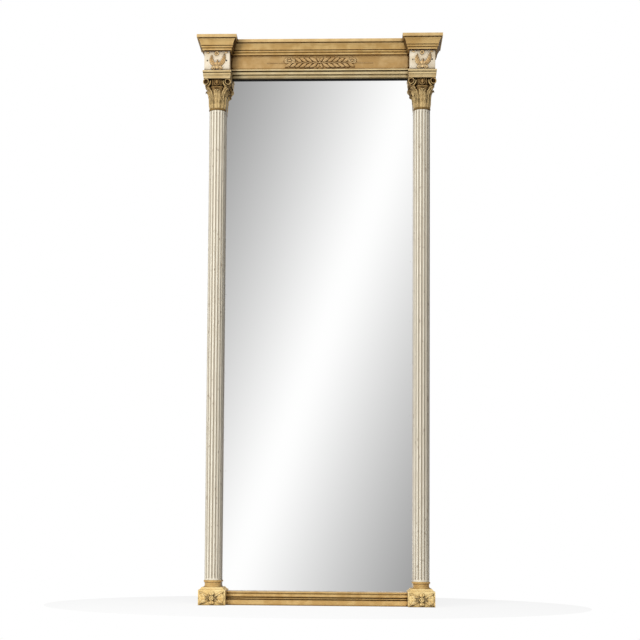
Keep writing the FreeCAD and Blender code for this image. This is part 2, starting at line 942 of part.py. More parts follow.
def frieze_spray():
    """Leaf spray on the frieze: two thin stems with leaf pairs, an end bloom on each and a middle boss."""
    middle = Vector(0, 0, (frieze_foot + cornice_foot) / 2)
    lean = math.radians(spray_leaf_angle)
    leaves_end = spray_leaf_start + spray_leaf_pitch * spray_leaf_pairs
    pieces = [boss(middle, spray_boss_radius, frieze_depth, spray_thickness)]
    for side in (-1, 1):
        end = middle + Vector(side * spray_length / 2, 0, 0)
        bloom = middle + Vector(side * (leaves_end + spray_bloom_gap), 0, 0)
        pieces.append(carved_leaf(middle, end, spray_stem_width, frieze_depth, spray_thickness))
        pieces.append(boss(bloom, spray_bloom_radius, frieze_depth, spray_thickness))
        for number in range(spray_leaf_pairs):
            root = middle + Vector(side * (spray_leaf_start + spray_leaf_pitch * number), 0, 0)
            for rise in (-1, 1):
                reach = Vector(side * math.cos(lean), 0, rise * math.sin(lean)) * spray_leaf_length
                pieces.append(
                    carved_leaf(root, root + reach, spray_leaf_width, frieze_depth, spray_thickness)
                )
    return joined(pieces)


def architrave_moulding():
    """Stepped architrave under the frieze, cut away where the abaci reach in."""
    def at(projection, rise):
        return Vector(-die_inner_x, -front_depth - projection, top_rail_foot + rise)

    quirk_low = architrave_foot_height
    band_low = quirk_low + architrave_quirk_height
    band_high = band_low + architrave_band_height
    top_low = band_high + architrave_hollow_height
    hollow_middle = (architrave_band_projection + architrave_top_projection) / 2
    steps = [
        at(0, 0),
        at(architrave_foot_projection, 0),
        at(architrave_foot_projection, quirk_low),
        at(architrave_quirk_projection, quirk_low),
        at(architrave_quirk_projection, band_low),
        at(architrave_band_projection, band_low),
        at(architrave_band_projection, band_high),
        at(architrave_quirk_projection, band_high),
        at(hollow_middle, top_low),
        at(architrave_top_projection, top_low),
        at(architrave_top_projection, architrave_height),
        at(0, architrave_height),
    ]
    body = outline_face(steps).extrude(Vector(2 * die_inner_x, 0, 0))
    room = block(
        column_x - abacus_half_width, column_x + abacus_half_width, front_depth, abacus_front_depth,
        abacus_foot, die_foot,
    )
    return one_solid(body.cut([room, mirrored(room)]))


def bottom_moulding():
    """Reeded moulding on the bottom rail: swelling skirt, fillet, bead and top fillet."""
    def at(projection, rise):
        return Vector(-plinth_inner_x, -front_depth - projection, rise)

    fillet_low = skirt_height + reed_quirk_height
    fillet_high = fillet_low + reed_fillet_height
    bead_low = fillet_high + reed_quirk_height
    bead_high = bead_low + reed_bead_height
    bead_root = reed_bead_projection - reed_bead_height / 2
    skirt_middle = (skirt_projection + skirt_neck_projection) / 2 + skirt_swell
    steps = [
        at(0, 0),
        at(skirt_projection, 0),
        at(skirt_projection, skirt_foot_height),
        (
            at(skirt_middle, (skirt_foot_height + skirt_height) / 2),
            at(skirt_neck_projection, skirt_height),
        ),
        at(reed_quirk_projection, skirt_height),
        at(reed_quirk_projection, fillet_low),
        at(reed_fillet_projection, fillet_low),
        at(reed_fillet_projection, fillet_high),
        at(reed_quirk_projection, fillet_high),
        at(reed_quirk_projection, bead_low),
        at(bead_root, bead_low),
        (
            at(reed_bead_projection, (bead_low + bead_high) / 2),
            at(bead_root, bead_high),
        ),
        at(reed_quirk_projection, bead_high),
        at(reed_quirk_projection, bead_high + reed_quirk_height),
        at(reed_top_projection, bead_high + reed_quirk_height),
        at(reed_top_projection, bottom_rail_height),
        at(0, bottom_rail_height),
    ]
    return one_solid(outline_face(steps).extrude(Vector(2 * plinth_inner_x, 0, 0)))


def sight_slips():
    """Dark slips that line the sight edge: right, left, top and bottom."""
    right = block(
        stile_inner_x - slip_thickness, stile_inner_x, glass_front_depth, front_depth,
        plinth_top, top_rail_foot,
    )
    inner_x = stile_inner_x - slip_thickness
    top = block(
        -inner_x, inner_x, glass_front_depth, front_depth, top_rail_foot - slip_thickness, top_rail_foot,
    )
    bottom = block(
        -plinth_inner_x, plinth_inner_x, glass_front_depth, front_depth, bottom_rail_height,
        bottom_rail_height + slip_thickness,
    )
    return {"right": right, "left": mirrored(right), "top": top, "bottom": bottom}


def mirror_plate():
    """Plain mirror plate in the rebate."""
    half = stile_inner_x + glass_overlap
    return block(
        -half, half, glass_back_depth, glass_front_depth, rebate_low + glass_clearance,
        rebate_high - glass_clearance,
    )


def glazing_blocks():
    """Small blocks glued into the rebate behind the glass."""
    depth_low = glass_back_depth - block_depth
    blocks = []
    for height in evenly(rebate_low, rebate_high, blocks_per_stile):
        right = block(
            rebate_x - block_width, rebate_x, depth_low, glass_back_depth,
            height - block_length / 2, height + block_length / 2,
        )
        blocks += [right, mirrored(right)]
    for across in evenly(-rebate_x, rebate_x, blocks_per_rail):
        for z_low in (rebate_low, rebate_high - block_width):
            blocks.append(block(
                across - block_length / 2, across + block_length / 2, depth_low, glass_back_depth,
                z_low, z_low + block_width,
            ))
    return Part.makeCompound(blocks)


def back_panel():
    """Thin panel over the back of the rebate."""
    body = block(
        -panel_edge_x, panel_edge_x, back_depth - panel_thickness, back_depth, panel_low, panel_high,
    )
    return one_solid(body.cut(panel_holes()))


def hanger_plate():
    """Right hanger's strap with the rolled barrel that carries the ring."""
    strap_foot = ring_pivot_z - strap_length
    half = strap_width / 2
    strap = block(
        back_strip_x - half, back_strip_x + half, back_depth - strap_thickness, back_depth,
        strap_foot + half, ring_pivot_z,
    )
    end = rod(half, strap_thickness, Vector(back_strip_x, -back_depth, strap_foot + half), Y_AXIS)
    start = Vector(back_strip_x - half, -ring_pivot_depth, ring_pivot_z)
    barrel = rod(barrel_radius, strap_width, start, X_AXIS)
    bore_radius = ring_wire_diameter / 2 + ring_running_clearance
    bore = rod(bore_radius, strap_width + 2 * overrun, start - X_AXIS * overrun, X_AXIS)
    holes = [hanger_screw(place, screw_clearance) for place in hanger_screw_places()]
    return one_solid(strap.fuse([end, barrel]).cut([bore] + holes))


def hanger_ring():
    """Right hanger's wire ring, raised and leaning on the back of the stile."""
    def at(across, rise):
        return Vector(back_strip_x + across, -ring_pivot_depth, ring_pivot_z + rise)

    half = ring_half_width
    turn = ring_corner_radius
    knee = turn * (1 - math.sqrt(0.5))
    path = Part.Wire([
        Part.makeLine(at(0, 0), at(half - turn, 0)),
        Part.Arc(at(half - turn, 0), at(half - knee, knee), at(half, turn)).toShape(),
        Part.makeLine(at(half, turn), at(half, ring_leg)),
        Part.Arc(at(half, ring_leg), at(0, ring_height), at(-half, ring_leg)).toShape(),
        Part.makeLine(at(-half, ring_leg), at(-half, turn)),
        Part.Arc(at(-half, turn), at(knee - half, knee), at(turn - half, 0)).toShape(),
        Part.makeLine(at(turn - half, 0), at(0, 0)),
    ])
    section = Part.Wire([Part.makeCircle(ring_wire_diameter / 2, at(0, 0), X_AXIS)])
    ring = path.makePipeShell([section], True, True)
    ring.rotate(at(0, 0), X_AXIS, math.degrees(ring_lean))
    return ring.Solids[0]


def wall_pads():
    """Four round pads on the back corners that meet the wall."""
    across = plinth_outer_x - pad_margin - pad_diameter / 2
    low = pad_margin + pad_diameter / 2
    high = cornice_foot - pad_margin - pad_diameter / 2
    pads = []
    for x in (-across, across):
        for z in (low, high):
            pads.append(rod(pad_diameter / 2, pad_thickness, Vector(x, -back_depth, z), Y_AXIS))
    return Part.makeCompound(pads)


def both_sides(pieces):
    """Right pieces and their left copies in one group."""
    return Part.makeCompound(pieces + [mirrored(piece) for piece in pieces])


def sided_nodes():
    """Pieces that the mirror has on each side, by name."""
    return {
        "stile": stile(),
        "plinth_block": plinth_block(),
        "plinth_rosette": plinth_rosette(),
        "column_base": column_base(),
        "column_shaft": column_shaft(),
        "necking_ring": necking_ring(),
        "capital_bell": capital_bell(),
        "capital_leaves": capital_leaves(),
        "capital_volutes": capital_volutes(),
        "capital_echinus": capital_echinus(),
        "abacus": abacus(),
        "die_block": die_block(),
        "die_palmette": die_palmette(),
        "cornice_cap": cornice_cap(),
        "hanger_plate": hanger_plate(),
        "hanger_ring": hanger_ring(),
    }


def shared_nodes(cap):
    """Pieces that run across the mirror, and groups of like pieces, by name."""
    nodes = {
        "top_rail": top_rail(),
        "bottom_rail": bottom_rail(),
        "corner_dowels": corner_dowels(),
        "column_dowels": both_sides(column_dowels()),
        "column_screws": both_sides([long_screw(place) for place in column_screw_places()]),
        "die_screws": both_sides([long_screw(place) for place in die_screw_places()]),
        "palmette_pins": both_sides([pin(place) for place in pin_places()]),
        "cornice_moulding": cornice_moulding(cap),
        "frieze_board": frieze_board(),
        "frieze_spray": frieze_spray(),
        "architrave_moulding": architrave_moulding(),
        "bottom_moulding": bottom_moulding(),
        "mirror_plate": mirror_plate(),
        "glazing_blocks": glazing_blocks(),
        "back_panel": back_panel(),
        "back_panel_screws": Part.makeCompound([panel_screw(place) for place in panel_screw_places()]),
        "hanger_screws": both_sides([hanger_screw(place) for place in hanger_screw_places()]),
        "wall_pads": wall_pads(),
    }
    for name, slip in sight_slips().items():
        nodes[name + "_sight_slip"] = slip
    return nodes


def write_node(name, shape):
    """Write one node with the origin at the hanging point."""
    placed = shape.copy()
    placed.translate(Vector(0, 0, -hang_height))
    placed.exportStep(os.path.join("parts", name + ".step"))


def main():
    """Build every node and write it."""
    os.makedirs("parts", exist_ok=True)
    sided = sided_nodes()
    for name, shape in sided.items():
        write_node("right_" + name, shape)
        write_node("left_" + name, mirrored(shape))
    for name, shape in shared_nodes(sided["cornice_cap"]).items():
        write_node(name, shape)


main()
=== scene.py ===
"""Tall wall mirror in a gilt and cream frame: carved pieces, finishes, studio and camera."""

import json
import logging
import math
from collections.abc import Callable, Sequence
from dataclasses import dataclass
from enum import Enum

import bmesh
import bpy
from mathutils import Matrix, Vector

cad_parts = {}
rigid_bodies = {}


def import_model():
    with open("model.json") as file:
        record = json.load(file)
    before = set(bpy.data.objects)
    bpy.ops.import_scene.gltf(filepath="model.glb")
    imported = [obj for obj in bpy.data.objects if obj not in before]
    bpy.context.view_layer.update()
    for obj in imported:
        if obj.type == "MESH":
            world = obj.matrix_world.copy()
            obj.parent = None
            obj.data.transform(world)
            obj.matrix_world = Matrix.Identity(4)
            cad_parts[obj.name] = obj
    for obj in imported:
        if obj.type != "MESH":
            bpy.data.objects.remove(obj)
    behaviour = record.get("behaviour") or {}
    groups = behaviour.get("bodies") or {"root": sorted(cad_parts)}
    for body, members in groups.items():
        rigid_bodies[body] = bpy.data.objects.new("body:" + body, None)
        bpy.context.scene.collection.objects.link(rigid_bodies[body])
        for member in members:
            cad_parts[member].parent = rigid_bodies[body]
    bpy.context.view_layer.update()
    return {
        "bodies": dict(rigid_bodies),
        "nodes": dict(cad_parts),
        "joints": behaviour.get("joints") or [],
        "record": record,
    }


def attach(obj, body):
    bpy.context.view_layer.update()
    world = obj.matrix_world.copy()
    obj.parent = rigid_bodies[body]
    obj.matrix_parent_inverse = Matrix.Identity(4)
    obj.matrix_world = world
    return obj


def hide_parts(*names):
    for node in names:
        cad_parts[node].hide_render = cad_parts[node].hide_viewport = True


log = logging.getLogger("wall_mirror")

Pair = tuple[float, float]
Triple = tuple[float, float, float]
Tone = tuple[float, float, float]
Line = tuple[Pair, ...]
Place = Callable[[float, float, float], Vector]

MM = 0.001
HANDS = (-1.0, 1.0)
FORWARD = Vector((0.0, -1.0, 0.0))
UPWARD = Vector((0.0, 0.0, 1.0))
SAME_PLACE = 2e-6
SAME_LEVEL = 1e-6
FLAT = 1e-7
CORNER_BEND = math.radians(50.0)
PURE_WHITE = (1.0, 1.0, 1.0, 1.0)

# Edges flatter than these angles are shaded smooth, in degrees.
MOULDED, CARVED, LEAFY = 38.0, 50.0, 60.0

# Sizes that several sub-assemblies share, in millimetres.
HANG_HEIGHT = 1255.0
COLUMN_ACROSS = 275.5
COLUMN_DEPTH = 91.0
FRAME_BACK = 8.0
FRAME_FRONT = 73.0
FRIEZE_FRONT = 79.0
DIE_HALF = 34.15
DIE_FRONT = 125.15
DIE_TOP = 1484.5


def spot(across: float, depth: float, height: float) -> Vector:
    """Turn millimetres from the middle, the wall and the foot into metres in the row frame."""
    return Vector((across, -depth, height - HANG_HEIGHT)) * MM


def tone(colour: Sequence[float]) -> tuple[float, ...]:
    """Give red, green and blue of 0 to 255 as linear light with full alpha."""
    parts = [part / 255.0 for part in colour]
    return (*[p / 12.92 if p <= 0.04045 else ((p + 0.055) / 1.055) ** 2.4 for p in parts], 1.0)


def arc_points(start: Pair, middle: Pair, end: Pair, steps: int) -> list[Pair]:
    """Find points along the circle through three points, without the first.

    Args:
        start: Where the arc begins.
        middle: A point on the arc.
        end: Where the arc ends.
        steps: How many points to give.

    Returns:
        The points after the start, the end included.
    """
    (ax, ay), (bx, by), (cx, cy) = start, middle, end
    twice = 2.0 * (ax * (by - cy) + bx * (cy - ay) + cx * (ay - by))
    a2, b2, c2 = ax * ax + ay * ay, bx * bx + by * by, cx * cx + cy * cy
    ox = (a2 * (by - cy) + b2 * (cy - ay) + c2 * (ay - by)) / twice
    oy = (a2 * (cx - bx) + b2 * (ax - cx) + c2 * (bx - ax)) / twice
    radius = math.hypot(ax - ox, ay - oy)
    first = math.atan2(ay - oy, ax - ox)
    through = (math.atan2(by - oy, bx - ox) - first) % math.tau
    whole = (math.atan2(cy - oy, cx - ox) - first) % math.tau
    sweep = whole if through < whole else whole - math.tau
    turns = [first + sweep * number / steps for number in range(1, steps + 1)]
    return [(ox + radius * math.cos(turn), oy + radius * math.sin(turn)) for turn in turns]


def circle_points(centre: Triple, radius: float, steps: int) -> list[Vector]:
    """Closed circle of points that faces forwards.

    Args:
        centre: Its middle, across, in depth and upwards, in millimetres.
        radius: Its radius in millimetres.
        steps: Segments round it.

    Returns:
        The points, the first one again at the end.
    """
    across, depth, height = centre
    turns = [math.tau * number / steps for number in range(steps + 1)]
    return [
        spot(across + radius * math.sin(turn), depth, height + radius * math.cos(turn))
        for turn in turns
    ]


def show(name: str, data: bpy.types.ID) -> bpy.types.Object:
    """Put a new object into the scene.

    Args:
        name: Name of the object.
        data: Its mesh, lamp or camera.

    Returns:
        The object.
    """
    made = bpy.data.objects.new(name, data)
    bpy.context.scene.collection.objects.link(made)
    return made


class Side(Enum):
    """The two columns of the frame."""

    LEFT = -1
    RIGHT = 1

    @property
    def axis(self) -> float:
        """Place of the column's axis across the frame, in millimetres."""
        return self.value * COLUMN_ACROSS

    @property
    def prefix(self) -> str:
        """Start of the names of this side's pieces and CAD nodes."""
        return f"{self.name.lower()}_"


class Grain(Enum):
    """Which way the fibres of a piece of wood run, as pattern stretch along X, Y and Z."""

    UPRIGHT = (1.0, 1.0, 0.05)
    LEVEL = (0.05, 1.0, 1.0)


def operator(operation: str, swap: bool = False) -> Callable[["Value", "Value | float"], "Value"]:
    """Make an arithmetic method that adds one Math node, with its operands swapped if asked."""
    return lambda value, other: value.math(operation, other, swap)


class Value:
    """A node socket whose arithmetic adds Math nodes."""

    __add__, __radd__ = operator("ADD"), operator("ADD", True)
    __sub__, __rsub__ = operator("SUBTRACT"), operator("SUBTRACT", True)
    __mul__, __rmul__ = operator("MULTIPLY"), operator("MULTIPLY", True)
    __truediv__, __pow__, most = operator("DIVIDE"), operator("POWER"), operator("MAXIMUM")

    def __init__(self, shade: "Shade", socket: bpy.types.NodeSocket) -> None:
        """Keep the socket and the shade that it belongs to."""
        self.shade = shade
        self.socket = socket

    def math(self, operation: str, other: "Value | float" = 0.0, swap: bool = False) -> "Value":
        """Add one Math node, with the other operand second, or first if they are swapped."""
        pair = {0: other, 1: self} if swap else {0: self, 1: other}
        return self.shade.node("ShaderNodeMath", {"operation": operation}, pair)

    def ramp(self, low: float, high: float) -> "Value":
        """Rise smoothly from 0 to 1 between two values, clamped."""
        sockets = {"Value": self, "From Min": low, "From Max": high}
        return self.shade.node("ShaderNodeMapRange", {"interpolation_type": "SMOOTHSTEP"}, sockets)


class Shade:
    """The node tree of one material or of the world."""

    def __init__(self, tree: bpy.types.NodeTree) -> None:
        """Start from an empty tree."""
        self.tree = tree
        tree.nodes.clear()

    def node(
        self, kind: str, settings: dict | None = None, sockets: dict | None = None,
        out: int | str = 0,
    ) -> Value:
        """Add a node, set it up, then fill its sockets.

        Args:
            kind: Blender's type name of the node.
            settings: Attributes of the node, set first.
            sockets: Values or links by socket name or number.
            out: Output to give back.

        Returns:
            The chosen output.
        """
        made = self.tree.nodes.new(kind)
        for name, value in (settings or {}).items():
            setattr(made, name, value)
        for name, value in (sockets or {}).items():
            if isinstance(value, Value):
                self.tree.links.new(value.socket, made.inputs[name])
            else:
                made.inputs[name].default_value = value
        return Value(self, made.outputs[out])

    def place(self, stretch: Triple = (1.0, 1.0, 1.0)) -> Value:
        """Object coordinates, stretched by a factor for each axis."""
        where = self.node("ShaderNodeTexCoord", out="Object")
        return self.node("ShaderNodeMapping", {}, {"Vector": where, "Scale": stretch})

    def parts(self, vector: Value) -> list[Value]:
        """X, Y and Z of a vector."""
        split = self.node("ShaderNodeSeparateXYZ", {}, {0: vector}).socket.node
        return [Value(self, output) for output in split.outputs]

    def facing(self) -> list[Value]:
        """X, Y and Z of the surface's normal."""
        return self.parts(self.node("ShaderNodeNewGeometry", out="Normal"))

    def ray(self, kind: str) -> Value:
        """1 for rays of a kind and 0 for others."""
        return self.node("ShaderNodeLightPath", out=f"Is {kind} Ray")

    def noise(self, where: Value, scale: float, detail: float = 3.0, rough: float = 0.55) -> Value:
        """Soft noise from 0 to 1: repeats per metre, octaves and strength of the finer ones."""
        sockets = {"Vector": where, "Scale": scale, "Detail": detail, "Roughness": rough}
        return self.node("ShaderNodeTexNoise", {}, sockets)

    def shelter(self, reach: float, inside: bool = False) -> Value:
        """How shut in a point is within a reach, 0 to 1: in hollows, or from inside at edges."""
        settings = {"inside": inside, "only_local": inside, "samples": 6}
        return 1.0 - self.node("ShaderNodeAmbientOcclusion", settings, {"Distance": reach}, "AO")

    def blend(self, share: Value, first: Value | tuple, second: Value | tuple) -> Value:
        """Mix two colours, where a share of 0 gives the first and 1 the second."""
        settings = {"data_type": "RGBA", "clamp_factor": True}
        return self.node("ShaderNodeMix", settings, {0: share, 6: first, 7: second}, 2)

    def skin(self, sockets: dict, relief: Value | None = None, depth: float = 0.0) -> None:
        """End the tree in a surface.

        Args:
            sockets: Inputs of the Principled shader.
            relief: Height pattern for a bump.
            depth: Bump distance in metres.
        """
        if relief is not None:
            bump = {"Height": relief, "Strength": 0.6, "Distance": depth}
            sockets = sockets | {"Normal": self.node("ShaderNodeBump", {}, bump)}
        self.end("ShaderNodeOutputMaterial", self.node("ShaderNodeBsdfPrincipled", {}, sockets))

    def end(self, kind: str, surface: Value) -> None:
        """Link a shader to an output node's surface."""
        self.tree.links.new(surface.socket, self.tree.nodes.new(kind).inputs["Surface"])


@dataclass(frozen=True)
class Finish:
    """A surface finish; each kind paints its own nodes."""

    name: str

    def paint(self, shade: Shade) -> None:
        """Add the finish's nodes to an empty tree."""
        raise NotImplementedError

    def material(self) -> bpy.types.Material:
        """Make the finish's material once and give it back after that.

        Returns:
            The material.
        """
        title = f"finish_{self.name}"
        made = bpy.data.materials.get(title)
        if made is None:
            made = bpy.data.materials.new(title)
            made.use_nodes = True
            self.paint(Shade(made.node_tree))
        return made


@dataclass(frozen=True)
class Gilding(Finish):
    """Aged gilding on wood: soiling and painted shade in hollows, edges worn pale, streaks along
    the frame and painted shade on returns and undersides.
    """

    gold: Tone = (216, 182, 122)
    warm: Tone = (196, 158, 98)
    pale: Tone = (248, 230, 186)
    grime: Tone = (78, 50, 16)
    soiled: float = 1.0
    worn: float = 1.0
    deep: float = 0.68
    top_highlight_above: float | None = None
    soot: Tone = (50, 34, 14)
    shaded_sides: float = 0.0
    shaded_under: float = 0.0
    sheen: Tone = (190, 160, 120)
    patch_scale: float = 34.0
    speck_scale: float = 520.0
    streak_scale: float = 330.0
    hollow_reach: float = 0.009
    shadow_line_reach: float = 0.0032
    edge_reach: float = 0.0011
    top_highlight_blur: float = 0.0004
    relief: float = 0.00035

    def paint(self, shade: Shade) -> None:
        """Add the gilding's nodes.

        Args:
            shade: Tree to paint in.
        """
        grime, pale = tone(self.grime), tone(self.pale)
        where = shade.place()
        patch = shade.noise(where, self.patch_scale, 4.0)
        fine = shade.noise(where, self.speck_scale)
        streak = shade.noise(shade.place((0.06, 1.0, 1.0)), self.streak_scale)
        hollow = shade.shelter(self.hollow_reach)
        # Painted shadow: a short-reach occlusion mask that darkens the narrow strips under
        # overhangs.
        shadow_line = shade.shelter(self.shadow_line_reach)
        crest = shade.shelter(self.edge_reach, True)
        colour = shade.blend(patch.ramp(0.36, 0.66), tone(self.warm), tone(self.gold))
        colour = shade.blend(streak.ramp(0.52, 0.74) * 0.16, colour, grime)
        colour = shade.blend(crest.ramp(0.2, 0.8) * (0.25 + fine * 0.5) * self.worn, colour, pale)
        # Painted highlight: the top fillet above a set height is blended towards the pale tone.
        if self.top_highlight_above is not None:
            low, high = self.top_highlight_above - self.top_highlight_blur, self.top_highlight_above + self.top_highlight_blur
            top_highlight = shade.parts(where)[2].ramp(low, high)
            colour = shade.blend(top_highlight * (0.04 + streak * 0.24), colour, pale)
        # Soiling and painted shade: occlusion darkens hollows and ledges under overhangs towards
        # the dark tone.
        soil_and_shade = hollow.ramp(0.15, self.deep) * (0.66 + patch * 0.6)
        colour = shade.blend(soil_and_shade.most(shadow_line.ramp(0.28, 0.7)) * self.soiled, colour, grime)
        # Painted shade: faces that look sideways or downwards are blended towards a dark shade
        # tone.
        if self.shaded_sides or self.shaded_under:
            x, _, z = shade.facing()
            aside = x.math("ABSOLUTE").ramp(0.4, 0.75) * self.shaded_sides
            below = (0.0 - z).ramp(0.4, 0.7) * self.shaded_under
            colour = shade.blend(aside.most(below), colour, tone(self.soot))
        sockets = {
            "Base Color": colour, "Roughness": 0.36 + hollow * 0.3 + fine * 0.12, "Metallic": 0.3,
            "Specular IOR Level": 0.15, "Specular Tint": tone(self.sheen),
        }
        shade.skin(sockets, fine + patch * 0.5, self.relief)


@dataclass(frozen=True)
class WornPaint(Finish):
    """Old paint on wood: soiling and painted shade in hollows, painted shade in the column flutes,
    painted shadow lines under overhangs, streaks down the piece and nicks on edges.
    """

    paint_tone: Tone = (222, 213, 194)
    shaded: Tone = (204, 194, 172)
    dirt: Tone = (122, 112, 94)
    nick: Tone = (104, 78, 46)
    dirt_and_shade_strength: float = 0.75
    seam: float = 0.005
    backed: bool = False
    fluted: bool = False
    wood_light: Tone = (190, 150, 102)
    wood_dark: Tone = (150, 112, 70)
    patch_scale: float = 30.0
    speck_scale: float = 480.0
    run_scale: float = 240.0
    chip_scale: float = 150.0
    hollow_reach: float = 0.008
    edge_reach: float = 0.002
    relief: float = 0.00025
    flutes_round: float = 16.0
    flutes_start: Pair = (-1.188, -1.182)
    flutes_end: Pair = (0.072, 0.076)

    def paint(self, shade: Shade) -> None:
        """Add the paint's nodes.

        Args:
            shade: Tree to paint in.
        """
        dirt, nick = tone(self.dirt), tone(self.nick)
        where = shade.place()
        patch = shade.noise(where, self.patch_scale, 4.0)
        fine = shade.noise(where, self.speck_scale, 2.0)
        run = shade.noise(shade.place((1.0, 1.0, 0.04)), self.run_scale)
        chips = shade.noise(shade.place((1.0, 1.0, 0.45)), self.chip_scale, 2.0)
        hollow = shade.shelter(self.hollow_reach)
        crest = shade.shelter(self.edge_reach, True)
        colour = shade.blend(patch.ramp(0.38, 0.66), tone(self.shaded), tone(self.paint_tone))
        colour = shade.blend(run.ramp(0.54, 0.76) * 0.3, colour, dirt)
        # Soiling and painted shade: occlusion darkens hollows towards the dark tone.
        soil_and_shade = hollow.ramp(0.08, 0.5) * (0.6 + patch * 0.6) * self.dirt_and_shade_strength
        colour = shade.blend(soil_and_shade, colour, dirt)
        # Painted shade in the column flutes, from a mask by angle round each shaft.
        if self.fluted:
            colour = shade.blend(self.flutes(shade, where) * (0.58 + patch * 0.5), colour, dirt)
        else:
            # Painted shadow: an occlusion mask darkens strips under overhangs towards the dark chip
            # tone.
            shadow_line = shade.shelter(self.seam).ramp(0.15, 0.3) * self.dirt_and_shade_strength
            colour = shade.blend(shadow_line, colour, nick)
        nicks = chips.ramp(0.66, 0.69) * (crest.ramp(0.05, 0.4) * 0.8 + 0.2)
        colour = shade.blend(nicks, colour, nick)
        if self.backed:
            rear = shade.facing()[1].ramp(0.45, 0.55)
            wood = shade.blend(run.ramp(0.3, 0.7), tone(self.wood_dark), tone(self.wood_light))
            colour = shade.blend(rear, colour, wood)
        sockets = {"Base Color": colour, "Roughness": 0.42 + hollow * 0.3 + nicks * 0.2}
        shade.skin(sockets, fine * 0.4 - nicks, self.relief)

    def flutes(self, shade: Shade, where: Value) -> Value:
        """Find the flutes of both columns, which take painted shade.

        Args:
            shade: Tree to work in.
            where: Object coordinates.

        Returns:
            1 along the middle of a flute and 0 on the ridges and the shaft's ends.
        """
        x, y, z = shade.parts(where)
        out = x.math("ABSOLUTE") - COLUMN_ACROSS * MM
        turn = out.math("ARCTAN2", 0.0 - y - COLUMN_DEPTH * MM)
        groove = (turn * self.flutes_round).math("COSINE").ramp(-0.3, 0.7)
        return groove * z.ramp(*self.flutes_start) * (1.0 - z.ramp(*self.flutes_end))


@dataclass(frozen=True)
class PlainWood(Finish):
    """Bare or stained wood with grain along the piece."""

    light: Tone = (190, 150, 102)
    dark: Tone = (142, 102, 62)
    grain: Grain = Grain.UPRIGHT
    rough: float = 0.62
    gloss: float = 0.5
    pore_shade: float = 0.6
    band_scale: float = 90.0
    pore_scale: float = 900.0
    cloud_scale: float = 9.0
    relief: float = 0.00012

    def paint(self, shade: Shade) -> None:
        """Add the wood's nodes.

        Args:
            shade: Tree to paint in.
        """
        where = shade.place(self.grain.value)
        bands = shade.noise(where, self.band_scale, 4.0)
        pores = shade.noise(where, self.pore_scale, 2.0)
        cloud = shade.noise(shade.place(), self.cloud_scale)
        mix = bands.ramp(0.34, 0.7) * 0.75 + cloud * 0.3
        colour = shade.blend(mix, tone(self.dark), tone(self.light))
        darkest = tone([part * self.pore_shade for part in self.dark])
        colour = shade.blend(pores.ramp(0.6, 0.72) * 0.5, colour, darkest)
        sockets = {
            "Base Color": colour, "Roughness": self.rough + bands * 0.12,
            "Specular IOR Level": self.gloss,
        }
        shade.skin(sockets, pores + bands, self.relief)


@dataclass(frozen=True)
class Hardboard(Finish):
    """Pressed fibre board: brown, matte and finely speckled."""

    light: Tone = (150, 112, 74)
    dark: Tone = (104, 72, 44)
    fleck_scale: float = 1100.0
    cloud_scale: float = 6.0
    relief: float = 0.0001

    def paint(self, shade: Shade) -> None:
        """Add the board's nodes.

        Args:
            shade: Tree to paint in.
        """
        where = shade.place()
        fleck = shade.noise(where, self.fleck_scale, 3.0, 0.7)
        cloud = shade.noise(where, self.cloud_scale, 4.0)
        mix = fleck.ramp(0.34, 0.7) * 0.7 + cloud * 0.4
        colour = shade.blend(mix, tone(self.dark), tone(self.light))
        sockets = {"Base Color": colour, "Roughness": 0.72 + fleck * 0.1}
        shade.skin(sockets, fleck, self.relief)


@dataclass(frozen=True)
class Silvering(Finish):
    """Silvered glass: a clear mirror with a little bloom and a few fox marks near the edge."""

    silver: tuple[float, ...] = (0.955, 0.957, 0.955, 1.0)
    fox: Tone = (150, 136, 110)
    rim: Pair = (0.238, 0.256)
    mark_scale: float = 210.0
    bloom_scale: float = 7.0

    def paint(self, shade: Shade) -> None:
        """Add the mirror's nodes.

        Args:
            shade: Tree to paint in.
        """
        where = shade.place()
        rim = shade.parts(where)[0].math("ABSOLUTE").ramp(*self.rim)
        marks = shade.noise(where, self.mark_scale).ramp(0.66, 0.74) * rim
        bloom = shade.noise(where, self.bloom_scale)
        colour = shade.blend(marks * 0.5, self.silver, tone(self.fox))
        rough = bloom * 0.012 + marks * 0.15
        shade.skin({"Base Color": colour, "Roughness": rough, "Metallic": 1.0})


@dataclass(frozen=True)
class Metal(Finish):
    """Plain working metal with fine rub marks."""

    bright: Tone = (196, 195, 190)
    dull: Tone = (140, 138, 132)
    shine: float = 0.34
    grime: Tone = (62, 58, 50)
    rub_scale: float = 1500.0
    cloud_scale: float = 90.0
    grime_and_shade_reach: float = 0.003
    relief: float = 0.00004

    def paint(self, shade: Shade) -> None:
        """Add the metal's nodes.

        Args:
            shade: Tree to paint in.
        """
        rub = shade.noise(shade.place((1.0, 1.0, 0.15)), self.rub_scale, 2.0)
        cloud = shade.noise(shade.place(), self.cloud_scale)
        # Soiling and painted shade: occlusion darkens recesses.
        soil_and_shade = shade.shelter(self.grime_and_shade_reach).ramp(0.3, 0.9) * 0.6
        colour = shade.blend(cloud.ramp(0.35, 0.7), tone(self.dull), tone(self.bright))
        colour = shade.blend(soil_and_shade, colour, tone(self.grime))
        sockets = {"Base Color": colour, "Roughness": self.shine + rub * 0.18, "Metallic": 0.92}
        shade.skin(sockets, rub, self.relief)


@dataclass(frozen=True)
class Felt(Finish):
    """Dense felt with short matted fibres."""

    light: Tone = (112, 97, 76)
    dark: Tone = (70, 59, 44)
    fibre_scale: float = 2200.0
    relief: float = 0.0003

    def paint(self, shade: Shade) -> None:
        """Add the felt's nodes.

        Args:
            shade: Tree to paint in.
        """
        fibre = shade.noise(shade.place((1.0, 1.0, 0.4)), self.fibre_scale, 4.0, 0.7)
        colour = shade.blend(fibre.ramp(0.3, 0.72), tone(self.dark), tone(self.light))
        sockets = {"Base Color": colour, "Roughness": 0.95, "Sheen Weight": 0.3}
        shade.skin(sockets, fibre, self.relief)


